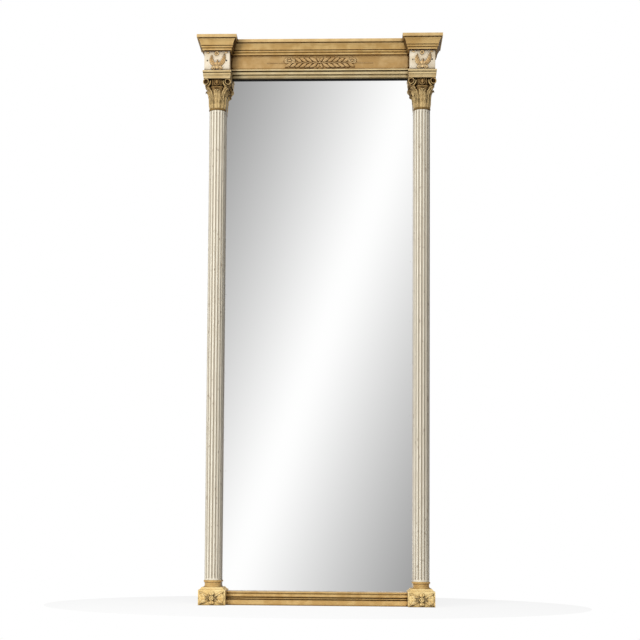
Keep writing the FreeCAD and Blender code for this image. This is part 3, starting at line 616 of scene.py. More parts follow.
GILT = Gilding("aged_gilding", worn=1.4)
# Painted highlight along the top fillet of the cornice and caps, painted shade on their side
# returns.
HIGHLIT_SHADED_CORNICE_GILT = Gilding(
    "highlit_shaded_cornice_gilding", deep=0.5, top_highlight_above=0.2605, shaded_sides=0.88,
)
# deep=0.3 spreads the painted shadow under the cornice further down the frieze.
FRIEZE_GILT = Gilding(
    "dulled_frieze_gilding", (198, 165, 114), (180, 144, 92), (226, 200, 150), (70, 42, 12),
    deep=0.3,
)
# deep=0.5 widens the painted shade in the gaps between the leaves.
SPRAY_GILT = Gilding(
    "carved_spray_gilding", (212, 178, 126), (194, 158, 106), (236, 210, 160), (74, 46, 16),
    worn=1.7, deep=0.5,
)
# shaded_under paints shade on the downward faces of the abacus.
PALE_GILT = Gilding(
    "pale_moulding_gilding", (216, 192, 144), (200, 172, 122), (250, 234, 194), (74, 56, 20),
    soiled=1.15, worn=1.4, shaded_under=0.4,
)
# shaded_under paints shade on the downward faces of the architrave.
ARCHITRAVE_GILT = Gilding(
    "faded_architrave_gilding", (226, 206, 160), (212, 188, 140), (252, 240, 204), (74, 56, 20),
    worn=1.4, shaded_under=0.6,
)
DARK_GILT = Gilding(
    "darkened_capital_gilding", (180, 147, 97), (152, 120, 74), (228, 200, 144), (42, 28, 11),
    soiled=1.1, worn=1.5, deep=0.5,
)
BRIGHT_GILT = Gilding(
    "bright_plinth_gilding", (251, 224, 162), (238, 204, 137), (255, 244, 202), (80, 52, 14),
    soiled=0.92, worn=1.4, deep=0.6,
)
PALMETTE_GILT = Gilding(
    "pale_palmette_gilding", (240, 208, 154), (224, 188, 132), (252, 238, 200), (84, 50, 22),
    soiled=0.62,
)
# deep=0.42 darkens the scroll eyes with painted shade.
SCROLL_GILT = Gilding(
    "scroll_gilding", (220, 190, 132), (200, 166, 106), (250, 234, 194), (56, 34, 14),
    soiled=1.1, worn=1.5, deep=0.42,
)
# Darker gilding tone paints the shade at the column's necking.
SHADED_RING_GILT = Gilding(
    "shaded_ring_gilding", (146, 118, 72), (118, 92, 52), (204, 172, 118), (40, 28, 12),
)
# fluted=True paints shade into the column flutes.
CREAM = WornPaint(
    "cream_paint", (236, 229, 211), (226, 218, 199), (152, 139, 119), fluted=True,
)
CARCASS = WornPaint(
    "painted_carcass", (240, 232, 216), (226, 217, 198), dirt_and_shade_strength=0.6, backed=True,
)
# The near-black chip tone and wide reach paint the shadow under the cornice cap on the die.
WHITE = WornPaint(
    "white_die_paint", (226, 214, 192), (208, 192, 164), (128, 116, 88), (40, 16, 6),
    dirt_and_shade_strength=1.0, seam=0.014,
)
# Near-black tone paints the shade under the architrave on the top sight slip.
SHADOW_SLIP = PlainWood("shadow_black_slip", (24, 21, 14), (10, 8, 5), rough=0.6, gloss=0.08)
# The side and bottom slips in a pale lit tone of the same slip wood as the shaded top slip.
GREY_SLIP = PlainWood("lit_grey_slip", (214, 207, 196), (186, 178, 167), rough=0.5)
RAIL_WOOD = PlainWood("bare_rail_wood", grain=Grain.LEVEL)
PEG_WOOD = PlainWood("dowel_wood", (206, 170, 120), (170, 130, 84))
BOARD = Hardboard("back_board")
MIRROR = Silvering("silvered_glass")
STEEL = Metal("plated_steel")
IRON = Metal("dark_pin_iron", (92, 80, 62), (44, 38, 30), shine=0.5)
FELT = Felt("pad_felt")


@dataclass(frozen=True)
class LeafForm:
    """A carved leaf in millimetres: lobed outline, raised rib, furrows between lobes and pleats."""

    width: float
    height: float
    lobes: float = 1.0
    notch: float = 0.0
    furrow: float = 0.0
    rib: float = 1.0
    pleat: float = 0.0
    belly: float = 0.42
    root: float = 0.35
    steps: tuple[int, int] = (30, 14)

    def half_width(self, along: float) -> float:
        """Half the leaf's width at a share of its length.

        Args:
            along: 0 at the root and 1 at the tip.

        Returns:
            The half width.
        """
        power = math.log(0.5) / math.log(self.belly)
        body = max(math.sin(math.pi * min(1.0, along) ** power), 0.0) ** 0.75
        body = max(body, self.root * (1.0 - along) ** 0.5 if along < self.belly else 0.0)
        cut = (0.5 - 0.5 * math.cos(math.tau * (self.lobes * along + 0.5))) ** 3
        return self.width / 2.0 * body * (1.0 - self.notch * cut)

    def lift(self, along: float, across: float) -> float:
        """Height of the carved surface over its ground.

        Args:
            along: 0 at the root and 1 at the tip.
            across: -1 at one edge, 0 on the rib and 1 at the other edge.

        Returns:
            The height.
        """
        side = abs(across)
        ends = min(1.0, 0.35 + along / 0.2) * min(1.0, 0.3 + (1.0 - along) / 0.22)
        body = self.height * (0.42 + 0.58 * (1.0 - side**2.4)) * ends
        phase = self.lobes * (along - 0.16 * side) + 0.5
        groove = (0.5 - 0.5 * math.cos(math.tau * phase)) ** 2 * min(1.0, side / 0.45)
        ridge = math.exp(-((across / 0.13) ** 2))
        ridge -= 0.7 * math.exp(-(((side - 0.3) / 0.13) ** 2))
        fold = self.pleat * math.cos(3.0 * math.pi * across)
        return max(body - self.furrow * groove + self.rib * ridge * ends + fold * ends, 0.05)


@dataclass(frozen=True)
class FaceSpine:
    """A bent line on a face that looks forwards, along which a leaf or stem is laid."""

    centre: Triple
    root: Pair
    bend: Pair
    tip: Pair

    def place(self, along: float, across: float, lift: float) -> Vector:
        """Place of a leaf point on the face.

        Args:
            along: Share of the line, 0 at the root and 1 at the tip.
            across: Millimetres to the line's side.
            lift: Millimetres off the face.

        Returns:
            The point in the row frame.
        """
        back, on = 1.0 - along, along
        axes = list(zip(self.root, self.bend, self.tip))
        x, z = (back * back * a + 2.0 * back * on * b + on * on * c for a, b, c in axes)
        dx, dz = (back * (b - a) + on * (c - b) for a, b, c in axes)
        share = across / (math.hypot(dx, dz) or 1.0)
        middle, depth, height = self.centre
        return spot(middle + x - dz * share, depth + lift, height + z + dx * share)

    def path(self, lift: float, steps: int) -> list[Vector]:
        """Points along the spine at one lift off the face."""
        return [self.place(number / steps, 0.0, lift) for number in range(steps + 1)]


@dataclass(frozen=True)
class BellSpine:
    """A line up a round bell that curls outwards at its tip, given as (radius, height) points."""

    axis: float
    depth: float
    foot: float
    turn: float
    points: Line

    def place(self, along: float, across: float, lift: float) -> Vector:
        """Place of a leaf point on the bell.

        Args:
            along: Share of the line, 0 at the root and 1 at the tip.
            across: Millimetres round the bell.
            lift: Millimetres out of the leaf's back.

        Returns:
            The point in the row frame.
        """
        spans = len(self.points) - 1
        place = min(max(along, 0.0), 0.9999) * spans
        index, part = int(place), place - int(place)
        around = [self.points[min(max(index + step, 0), spans)] for step in (-1, 0, 1, 2)]
        point, run = [], []
        for a, b, c, d in zip(*around):
            first, second, third = c - a, 2 * a - 5 * b + 4 * c - d, 3 * b - a - 3 * c + d
            point.append(0.5 * (2 * b + first * part + second * part * part + third * part**3))
            run.append(0.5 * (first + 2 * second * part + 3 * third * part * part))
        share = lift / (math.hypot(*run) or 1.0)
        reach = point[0] + run[1] * share
        angle = math.radians(self.turn) + across / max(reach, 1.0)
        return spot(
            self.axis + reach * math.sin(angle), self.depth + reach * math.cos(angle),
            self.foot + point[1] - run[0] * share,
        )


def draw_out(part: bmesh.types.BMesh, edges: list) -> tuple[list, list]:
    """Extrude edges.

    Args:
        part: Mesh to work in.
        edges: Edges to draw out.

    Returns:
        The new vertices and the new edges between them.
    """
    grown = bmesh.ops.extrude_edge_only(part, edges=edges)["geom"]
    verts = [item for item in grown if isinstance(item, bmesh.types.BMVert)]
    fresh = set(verts)
    rims = [
        item for item in grown
        if isinstance(item, bmesh.types.BMEdge) and fresh.issuperset(item.verts)
    ]
    return verts, rims


def source_of(vert: bmesh.types.BMVert, known: dict) -> bmesh.types.BMVert:
    """Find the known vertex that a new one was drawn out of."""
    return next(other for edge in vert.link_edges if (other := edge.other_vert(vert)) in known)


class Sculpt:
    """A mesh under work: carving and moulding steps, then a finished piece."""

    def __init__(self, side: Side | None = None) -> None:
        """Start with nothing, for one column or for the whole frame."""
        self.bm = bmesh.new()
        self.axis, self.prefix = (side.axis, side.prefix) if side else (0.0, "")

    def take(self, part: bmesh.types.BMesh) -> None:
        """Close a part's doubles, turn its faces outwards and add it to the work.

        Args:
            part: The part, which is used up.
        """
        bmesh.ops.remove_doubles(part, verts=part.verts, dist=SAME_PLACE)
        bmesh.ops.dissolve_degenerate(part, edges=part.edges, dist=FLAT)
        bmesh.ops.recalc_face_normals(part, faces=part.faces)
        mesh = bpy.data.meshes.new("part")
        part.to_mesh(mesh)
        part.free()
        self.bm.from_mesh(mesh)
        bpy.data.meshes.remove(mesh)

    def fill(self, part: bmesh.types.BMesh) -> None:
        """Fill every open border of a part."""
        bmesh.ops.holes_fill(part, edges=[edge for edge in part.edges if edge.is_boundary])

    def leaf(self, form: LeafForm, place: Place, skin: float = 0.0) -> None:
        """Carve a leaf along a spine.

        Args:
            form: Shape of the leaf.
            place: Where a point of the leaf lies.
            skin: Thickness of a free leaf; a leaf with none is closed against its ground.
        """
        part = bmesh.new()
        rows, columns = form.steps
        bmesh.ops.create_grid(part, x_segments=rows, y_segments=columns, size=0.5)
        ground = {}
        for vert in part.verts:
            along, across = vert.co.x + 0.5, vert.co.y * 2.0
            wide = form.half_width(along) * across
            ground[vert] = place(along, wide, -0.2)
            vert.co = place(along, wide, form.lift(along, across))
        if skin:
            whole = part.verts[:] + part.edges[:] + part.faces[:]
            bmesh.ops.solidify(part, geom=whole, thickness=skin * MM)
        else:
            rim = [edge for edge in part.edges if edge.is_boundary]
            lowered = {vert: ground[vert] for edge in rim for vert in edge.verts}
            for vert in draw_out(part, rim)[0]:
                vert.co = lowered[source_of(vert, lowered)]
            self.fill(part)
        self.take(part)

    def lay(self, form: LeafForm, centre: Triple, root: Pair, bend: Pair, tip: Pair) -> None:
        """Carve a leaf on a face that looks forwards, along a bent line about a centre."""
        self.leaf(form, FaceSpine(centre, root, bend, tip).place)

    def sweep(
        self, path: Sequence[Vector], widths: Sequence[float], heights: Sequence[float],
        normal: Vector, sides: int = 10,
    ) -> None:
        """Run a rounded section along a path.

        Args:
            path: Points in the row frame.
            widths: Half width of the section at each point, in millimetres.
            heights: Half height of the section along the normal at each point, in millimetres.
            normal: Direction that the section's height keeps.
            sides: Corners of the section.
        """
        part = bmesh.new()
        made = bmesh.ops.create_circle(part, cap_ends=True, segments=sides, radius=1.0)
        ring, rim = made["verts"], part.edges[:]
        here = Matrix.Identity(4)
        last = len(path) - 1
        for number, point in enumerate(path):
            run = (path[min(number + 1, last)] - path[max(number - 1, 0)]).normalized()
            side = run.cross(normal).normalized()
            wide, high = side * widths[number] * MM, side.cross(run) * heights[number] * MM
            frame = Matrix((wide, high, run)).transposed()
            there = Matrix.Translation(point) @ frame.to_4x4()
            if number:
                ring, rim = draw_out(part, rim)
            bmesh.ops.transform(part, matrix=there @ here.inverted(), verts=ring)
            here = there
        self.fill(part)
        self.take(part)

    def rod(
        self, path: Sequence[Vector], width: float, height: float, normal: Vector, sides: int = 10
    ) -> None:
        """Run a rounded section of one half width and half height along a path."""
        self.sweep(path, [width] * len(path), [height] * len(path), normal, sides)

    def bead(self, centre: Vector, radii: Triple, turn: float = 0.0, sides: int = 14) -> None:
        """Add a round or egg-shaped bead.

        Args:
            centre: Its middle in the row frame.
            radii: Half sizes across, in depth and upwards, in millimetres.
            turn: Turn about the upright axis, in degrees.
            sides: Segments round it.
        """
        part = bmesh.new()
        shape = Matrix.Diagonal((*[size * MM for size in radii], 1.0))
        matrix = Matrix.Translation(centre) @ Matrix.Rotation(math.radians(turn), 4, "Z") @ shape
        rings = sides // 2 + 2
        bmesh.ops.create_uvsphere(
            part, u_segments=sides, v_segments=rings, radius=1.0, matrix=matrix
        )
        self.take(part)

    def ease(self, part: bmesh.types.BMesh, geom: list, width: float, affect: str) -> None:
        """Round edges or corners of a part by a width in millimetres."""
        bmesh.ops.bevel(
            part, geom=geom, offset=width * MM, affect=affect, segments=2, profile=0.5, material=-1
        )

    def block(self, low: Vector, high: Vector, ease: float) -> None:
        """Add a block with eased edges.

        Args:
            low: One corner in the row frame.
            high: The opposite corner in the row frame.
            ease: Width of the eased edge in millimetres.
        """
        part = bmesh.new()
        matrix = Matrix.Translation((low + high) / 2.0) @ Matrix.Diagonal((*(high - low), 1.0))
        bmesh.ops.create_cube(part, size=1.0, matrix=matrix)
        self.ease(part, part.edges[:], ease, "EDGES")
        self.take(part)

    def outline(self, part: bmesh.types.BMesh, points: Sequence[Vector], ease: float) -> list:
        """Draw an open outline and ease its corners.

        Args:
            part: Mesh to draw in.
            points: Corners in order.
            ease: Width of the eased corner in millimetres.

        Returns:
            The outline's edges.
        """
        verts = [part.verts.new(point) for point in points]
        edges = [part.edges.new(pair) for pair in zip(verts, verts[1:])]
        corners = [
            vert for before, vert, after in zip(verts, verts[1:], verts[2:])
            if (vert.co - before.co).angle(after.co - vert.co) > CORNER_BEND
        ]
        if ease and corners:
            self.ease(part, corners, ease, "VERTICES")
            edges = part.edges[:]
        return edges

    def turned(self, foot: float, profile: Sequence[Pair], steps: int = 72) -> None:
        """Turn a profile round the column's axis and cut it flat at the frame's front.

        Args:
            foot: Height that the rises count from.
            profile: (radius, rise) points from the axis back to the axis.
            steps: Segments of the full turn.
        """
        part = bmesh.new()
        points = [spot(self.axis + radius, COLUMN_DEPTH, foot + rise) for radius, rise in profile]
        edges = self.outline(part, points, 0.0)
        bmesh.ops.spin(
            part, geom=edges + part.verts[:], cent=spot(self.axis, COLUMN_DEPTH, 0.0),
            axis=UPWARD, angle=math.tau, steps=steps, use_merge=True,
        )
        bmesh.ops.remove_doubles(part, verts=part.verts, dist=SAME_PLACE)
        bmesh.ops.bisect_plane(
            part, geom=part.verts[:] + part.edges[:] + part.faces[:], dist=FLAT,
            plane_co=spot(0.0, FRAME_FRONT, 0.0), plane_no=-FORWARD, clear_outer=True,
        )
        self.fill(part)
        self.take(part)

    def straight(
        self, profile: Sequence[Pair], depth: float, foot: float, reach: float, ease: float,
        scribed: bool = False,
    ) -> None:
        """Run a moulding across the frame.

        Args:
            profile: (projection, rise) points from the back foot to the back top.
            depth: Depth that the projections count from.
            foot: Height that the rises count from.
            reach: Half length across.
            ease: Width of the eased corners in millimetres.
            scribed: Shorten each end to fit the same profile standing on a block at the reach.
        """
        part = bmesh.new()
        points = [spot(-reach, depth + out, foot + rise) for out, rise in profile]
        edges = self.outline(part, points, ease)
        ends = [vert for vert in part.verts if len(vert.link_edges) == 1]
        edges.append(part.edges.new(ends))
        moved = draw_out(part, edges)[0]
        bmesh.ops.translate(part, verts=moved, vec=Vector((2.0 * reach * MM, 0.0, 0.0)))
        if scribed:
            middle = (foot + profile[-1][1] / 2.0 - HANG_HEIGHT) * MM
            for vert in part.verts:
                behind = profile[-2][0] if vert.co.z > middle else profile[1][0]
                out = max(-vert.co.y / MM - depth, 0.0) or behind
                vert.co.x -= math.copysign(out * MM, vert.co.x)
        self.fill(part)
        self.take(part)

    def mitred(
        self, profile: Sequence[Pair], half: float, front: float, back: float, foot: float,
        ease: float,
    ) -> None:
        """Run a moulding round three sides of a block on the column's axis and close it behind.

        Args:
            profile: (projection, rise) points from foot to top.
            half: Half width of the block.
            front: Depth of the block's front.
            back: Depth of the flat back.
            foot: Height that the rises count from.
            ease: Width of the eased corners in millimetres.
        """
        part = bmesh.new()
        points = [spot(out, 0.0, foot + rise) for out, rise in profile]
        edges = self.outline(part, points, ease)
        outs = {vert: vert.co.x / MM for vert in part.verts}
        corners = ((-1.0, False), (-1.0, True), (1.0, True), (1.0, False))
        for number, (hand, in_front) in enumerate(corners):
            if number:
                fresh, edges = draw_out(part, edges)
                outs = {vert: outs[source_of(vert, outs)] for vert in fresh}
            for vert, out in outs.items():
                across = self.axis + hand * (half + out)
                depth = front + out if in_front else back
                vert.co = Vector((across * MM, -depth * MM, vert.co.z))
        for level in (points[0].z, points[-1].z):
            flat = [
                edge for edge in part.edges if edge.is_boundary
                and all(abs(vert.co.z - level) < SAME_LEVEL for vert in edge.verts)
            ]
            around = [vert for edge in flat for vert in edge.verts]
            ends = [vert for vert in around if around.count(vert) == 1]
            bmesh.ops.edgeloop_fill(part, edges=[*flat, part.edges.new(ends)])
        self.fill(part)
        self.take(part)

    def piece(
        self, name: str, finish: Finish, node: str, smooth: float = MOULDED,
    ) -> None:
        """Turn the work into a piece of the frame.

        Args:
            name: Name of the piece, after its side's.
            finish: Its finish.
            node: CAD node that it stands for, after its side's.
            smooth: Edges flatter than this angle are shaded smooth, in degrees.
        """
        name = self.prefix + name
        mesh = bpy.data.meshes.new(name)
        self.bm.to_mesh(mesh)
        self.bm.free()
        mesh.shade_smooth()
        mesh.set_sharp_from_angle(angle=math.radians(smooth))
        mesh.materials.append(finish.material())
        made = show(name, mesh)
        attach(made, "frame")
        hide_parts(self.prefix + node)
        log.info("%s: %d faces", name, len(mesh.polygons))


@dataclass
class Cornice:
    """Long cornice and the two flared caps over the columns, in millimetres."""

    foot: float = DIE_TOP
    reach: float = 241.35
    inset: float = 0.3
    ease: float = 0.5
    profile: Line = (
        (5.0, 0.0), (5.0, 5.0), (4.0, 5.0), (4.0, 6.2), (5.0, 6.2),
        *arc_points((5.0, 6.2), (8.2, 9.4), (5.0, 12.6), 8), (9.5, 12.6),
        *arc_points((9.5, 12.6), (11.25, 21.0), (16.0, 28.6), 10), (13.6, 28.6), (13.6, 31.2),
        (19.4, 31.2), (19.4, 39.5),
    )

    def build(self) -> None:
        """Make the long cornice and both caps."""
        work = Sculpt()
        behind = FRAME_BACK + self.inset - FRIEZE_FRONT
        closed = [(behind, 0.0), *self.profile, (behind, self.profile[-1][1])]
        work.straight(closed, FRIEZE_FRONT, self.foot, self.reach, self.ease, scribed=True)
        work.piece("long_cornice", HIGHLIT_SHADED_CORNICE_GILT, "cornice_moulding")
        for side in Side:
            work = Sculpt(side)
            work.mitred(self.profile, DIE_HALF, DIE_FRONT, FRAME_BACK, self.foot, self.ease)
            work.piece("cap", HIGHLIT_SHADED_CORNICE_GILT, "cornice_cap")


@dataclass
class Architrave:
    """Stepped moulding under the frieze, in millimetres."""

    foot: float = 1421.0
    reach: float = 240.0
    ease: float = 0.4
    profile: Line = (
        (0.0, 0.0), (1.5, 0.0), (4.5, 3.0), (4.5, 7.4), (3.0, 7.4), (3.0, 10.2), (9.0, 10.2),
        (9.0, 16.8), (3.0, 16.8), (11.0, 19.4), (13.0, 19.4), (13.0, 23.0), (0.0, 23.0),
    )

    def build(self) -> None:
        """Run the moulding."""
        work = Sculpt()
        work.straight(self.profile, FRAME_FRONT, self.foot, self.reach, self.ease)
        work.piece("architrave", ARCHITRAVE_GILT, "architrave_moulding")


@dataclass
class Die:
    """One column's die block and the palmette on it, in millimetres."""

    side: Side
    foot: float = 1430.3
    ease: float = 0.8
    petal: LeafForm = LeafForm(
        11.0, 3.8, rib=0.9, pleat=0.7, belly=0.5, root=0.5, steps=(34, 16),
    )
    arm: LeafForm = LeafForm(4.0, 1.5, lobes=2.0, notch=0.1, furrow=0.3, rib=0.4, root=0.7)
    curl: LeafForm = LeafForm(5.0, 2.2, rib=0.4)
    bud: LeafForm = LeafForm(4.2, 3.6)
    petal_tips: tuple[Pair, Pair] = ((-13.5, 42.5), (20.5, 46.0))
    ring_steps: int = 28
    ring_lift: float = 0.7

    def build(self) -> None:
        """Make the block and its palmette."""
        work = Sculpt(self.side)
        low = spot(work.axis - DIE_HALF, DIE_FRONT, self.foot)
        work.block(low, spot(work.axis + DIE_HALF, FRAME_FRONT, DIE_TOP), self.ease)
        work.piece("die", WHITE, "die_block")
        self.palmette()

    def on_face(self, across: float, lift: float, rise: float) -> Triple:
        """Place on the die's face, from the foot of its middle."""
        return (self.side.axis + across, DIE_FRONT + lift, self.foot + rise)

    def ring(self, across: float, rise: float, radius: float) -> list[Vector]:
        """Closed circle of points on the die's face."""
        return circle_points(self.on_face(across, self.ring_lift, rise), radius, self.ring_steps)

    def palmette(self) -> None:
        """Carve two curved petals on a curled foot, a bud, a ring and two small arms."""
        work = Sculpt(self.side)
        foot = self.on_face(0.0, 0.0, 0.0)
        for hand, tip in zip(HANDS, self.petal_tips):
            work.lay(self.petal, foot, (hand * 1.2, 12.5), (hand * 20.0, 17.5), tip)
            work.lay(self.arm, foot, (hand * 21.0, 46.5), (hand * 25.0, 51.0), (hand * 29.0, 47.5))
            work.lay(self.curl, foot, (hand * 2.5, 8.5), (hand * 12.0, 11.5), (hand * 15.5, 3.0))
            work.rod(self.ring(hand * 8.6, 5.6, 2.9), 1.1, 1.6, FORWARD)
        work.bead(spot(*self.on_face(0.4, 0.0, 16.6)), (11.5, 2.0, 5.8))
        work.lay(self.bud, foot, (0.0, 12.0), (0.8, 20.0), (1.4, 30.0))
        work.rod(self.ring(-0.8, 46.4, 4.4), 1.4, 1.7, FORWARD)
        work.bead(spot(*self.on_face(-0.8, 0.2, 46.4)), (1.6, 1.4, 1.6))
        work.bead(spot(*self.on_face(0.0, 0.6, 7.4)), (4.4, 2.6, 3.4))
        bar = FaceSpine(foot, (-11.0, 11.4), (0.0, 9.6), (11.0, 11.4)).path(0.5, 16)
        work.rod(bar, 1.0, 1.5, FORWARD)
        work.piece("palmette", PALMETTE_GILT, "die_palmette", CARVED)


@dataclass
class Spray:
    """Leafy branches carved on the frieze, in millimetres."""

    height: float = 1463.4
    pairs: int = 6
    upper_leaves: tuple[int, int] = (4, 5)
    first_leaf: float = 6.0
    leaf_step: float = 14.0
    leaf_length: float = 25.0
    leaf_shortening: float = 0.9
    stem_steps: int = 40
    blooms: tuple[Pair, Pair] = ((17.5, -82.0), (13.0, 87.7))
    bloom_petals: int = 9
    bloom_rise: float = 5.8
    bloom_half_height: float = 8.8
    leaf: LeafForm = LeafForm(
        8.4, 3.4, lobes=2.0, notch=0.06, furrow=0.25, rib=0.75, belly=0.5, root=0.3, steps=(18, 10),
    )
    tie: LeafForm = LeafForm(
        7.0, 2.4, lobes=2.0, notch=0.1, furrow=0.3, rib=0.6, steps=(18, 10),
    )
    crown: LeafForm = LeafForm(
        7.0, 2.6, lobes=2.0, notch=0.1, furrow=0.3, rib=0.6, steps=(18, 10),
    )
    petal: LeafForm = LeafForm(7.0, 2.2, rib=0.7, belly=0.6, steps=(14, 8))

    def build(self) -> None:
        """Carve two branches, their end blooms, a middle bead and the leaves round it."""
        work = Sculpt()
        centre = (0.0, FRIEZE_FRONT, self.height)
        for hand, upper, bloom in zip(HANDS, self.upper_leaves, self.blooms):
            self.branch(work, hand, upper)
            self.bloom(work, hand, *bloom)
        work.bead(spot(0.0, FRIEZE_FRONT + 0.8, self.height + 1.2), (3.2, 2.8, 2.8))
        for hand in HANDS:
            work.lay(self.tie, centre, (hand * 1.0, -2.5), (hand * 4.0, -8.0), (hand * 8.0, -16.0))
            work.lay(self.crown, centre, (hand * 1.0, 3.0), (hand * 3.0, 9.0), (hand * 9.5, 15.0))
        work.piece("frieze_spray_carving", SPRAY_GILT, "frieze_spray", CARVED)

    def branch(self, work: Sculpt, hand: float, upper: int) -> None:
        """Carve one branch: a thinning stem with leaves below it and fewer above.

        Args:
            work: Mesh under work.
            hand: -1 for the left branch and 1 for the right.
            upper: How many leaves stand above the stem.
        """
        centre = (0.0, FRIEZE_FRONT, self.height)
        stem = FaceSpine(centre, (0.0, -0.5), (hand * 70.0, 1.5), (hand * 144.0, -1.0))
        fade = [1.3 - 0.7 * number / self.stem_steps for number in range(self.stem_steps + 1)]
        work.sweep(stem.path(0.5, self.stem_steps), fade, [size * 1.1 for size in fade], FORWARD)
        for number in range(self.pairs):
            start = self.first_leaf + self.leaf_step * number
            length = self.leaf_length - self.leaf_shortening * number
            for rise in HANDS if number < upper else HANDS[:1]:
                work.lay(
                    self.leaf, centre, (hand * start, rise * 0.4),
                    (hand * (start + length * 0.40), rise * length * 0.36),
                    (hand * (start + length * 0.92), rise * length * 0.57),
                )

    def bloom(self, work: Sculpt, hand: float, wide: float, across: float) -> None:
        """Carve the rounded bloom that ends one branch.

        Args:
            work: Mesh under work.
            hand: -1 for the left branch and 1 for the right.
            wide: Half width of the bloom.
            across: Place of its middle across the frame.
        """
        middle = (across, FRIEZE_FRONT, self.height + self.bloom_rise)
        for number in range(self.bloom_petals):
            lean = math.radians(-160.0 + 40.0 * number)
            tip = (hand * wide * math.cos(lean), self.bloom_half_height * math.sin(lean))
            root, bend = ((tip[0] * share, tip[1] * share) for share in (0.2, 0.6))
            work.lay(self.petal, middle, root, bend, tip)
        work.bead(spot(across, FRIEZE_FRONT + 0.6, middle[2]), (wide * 0.42, 1.8, 2.6))


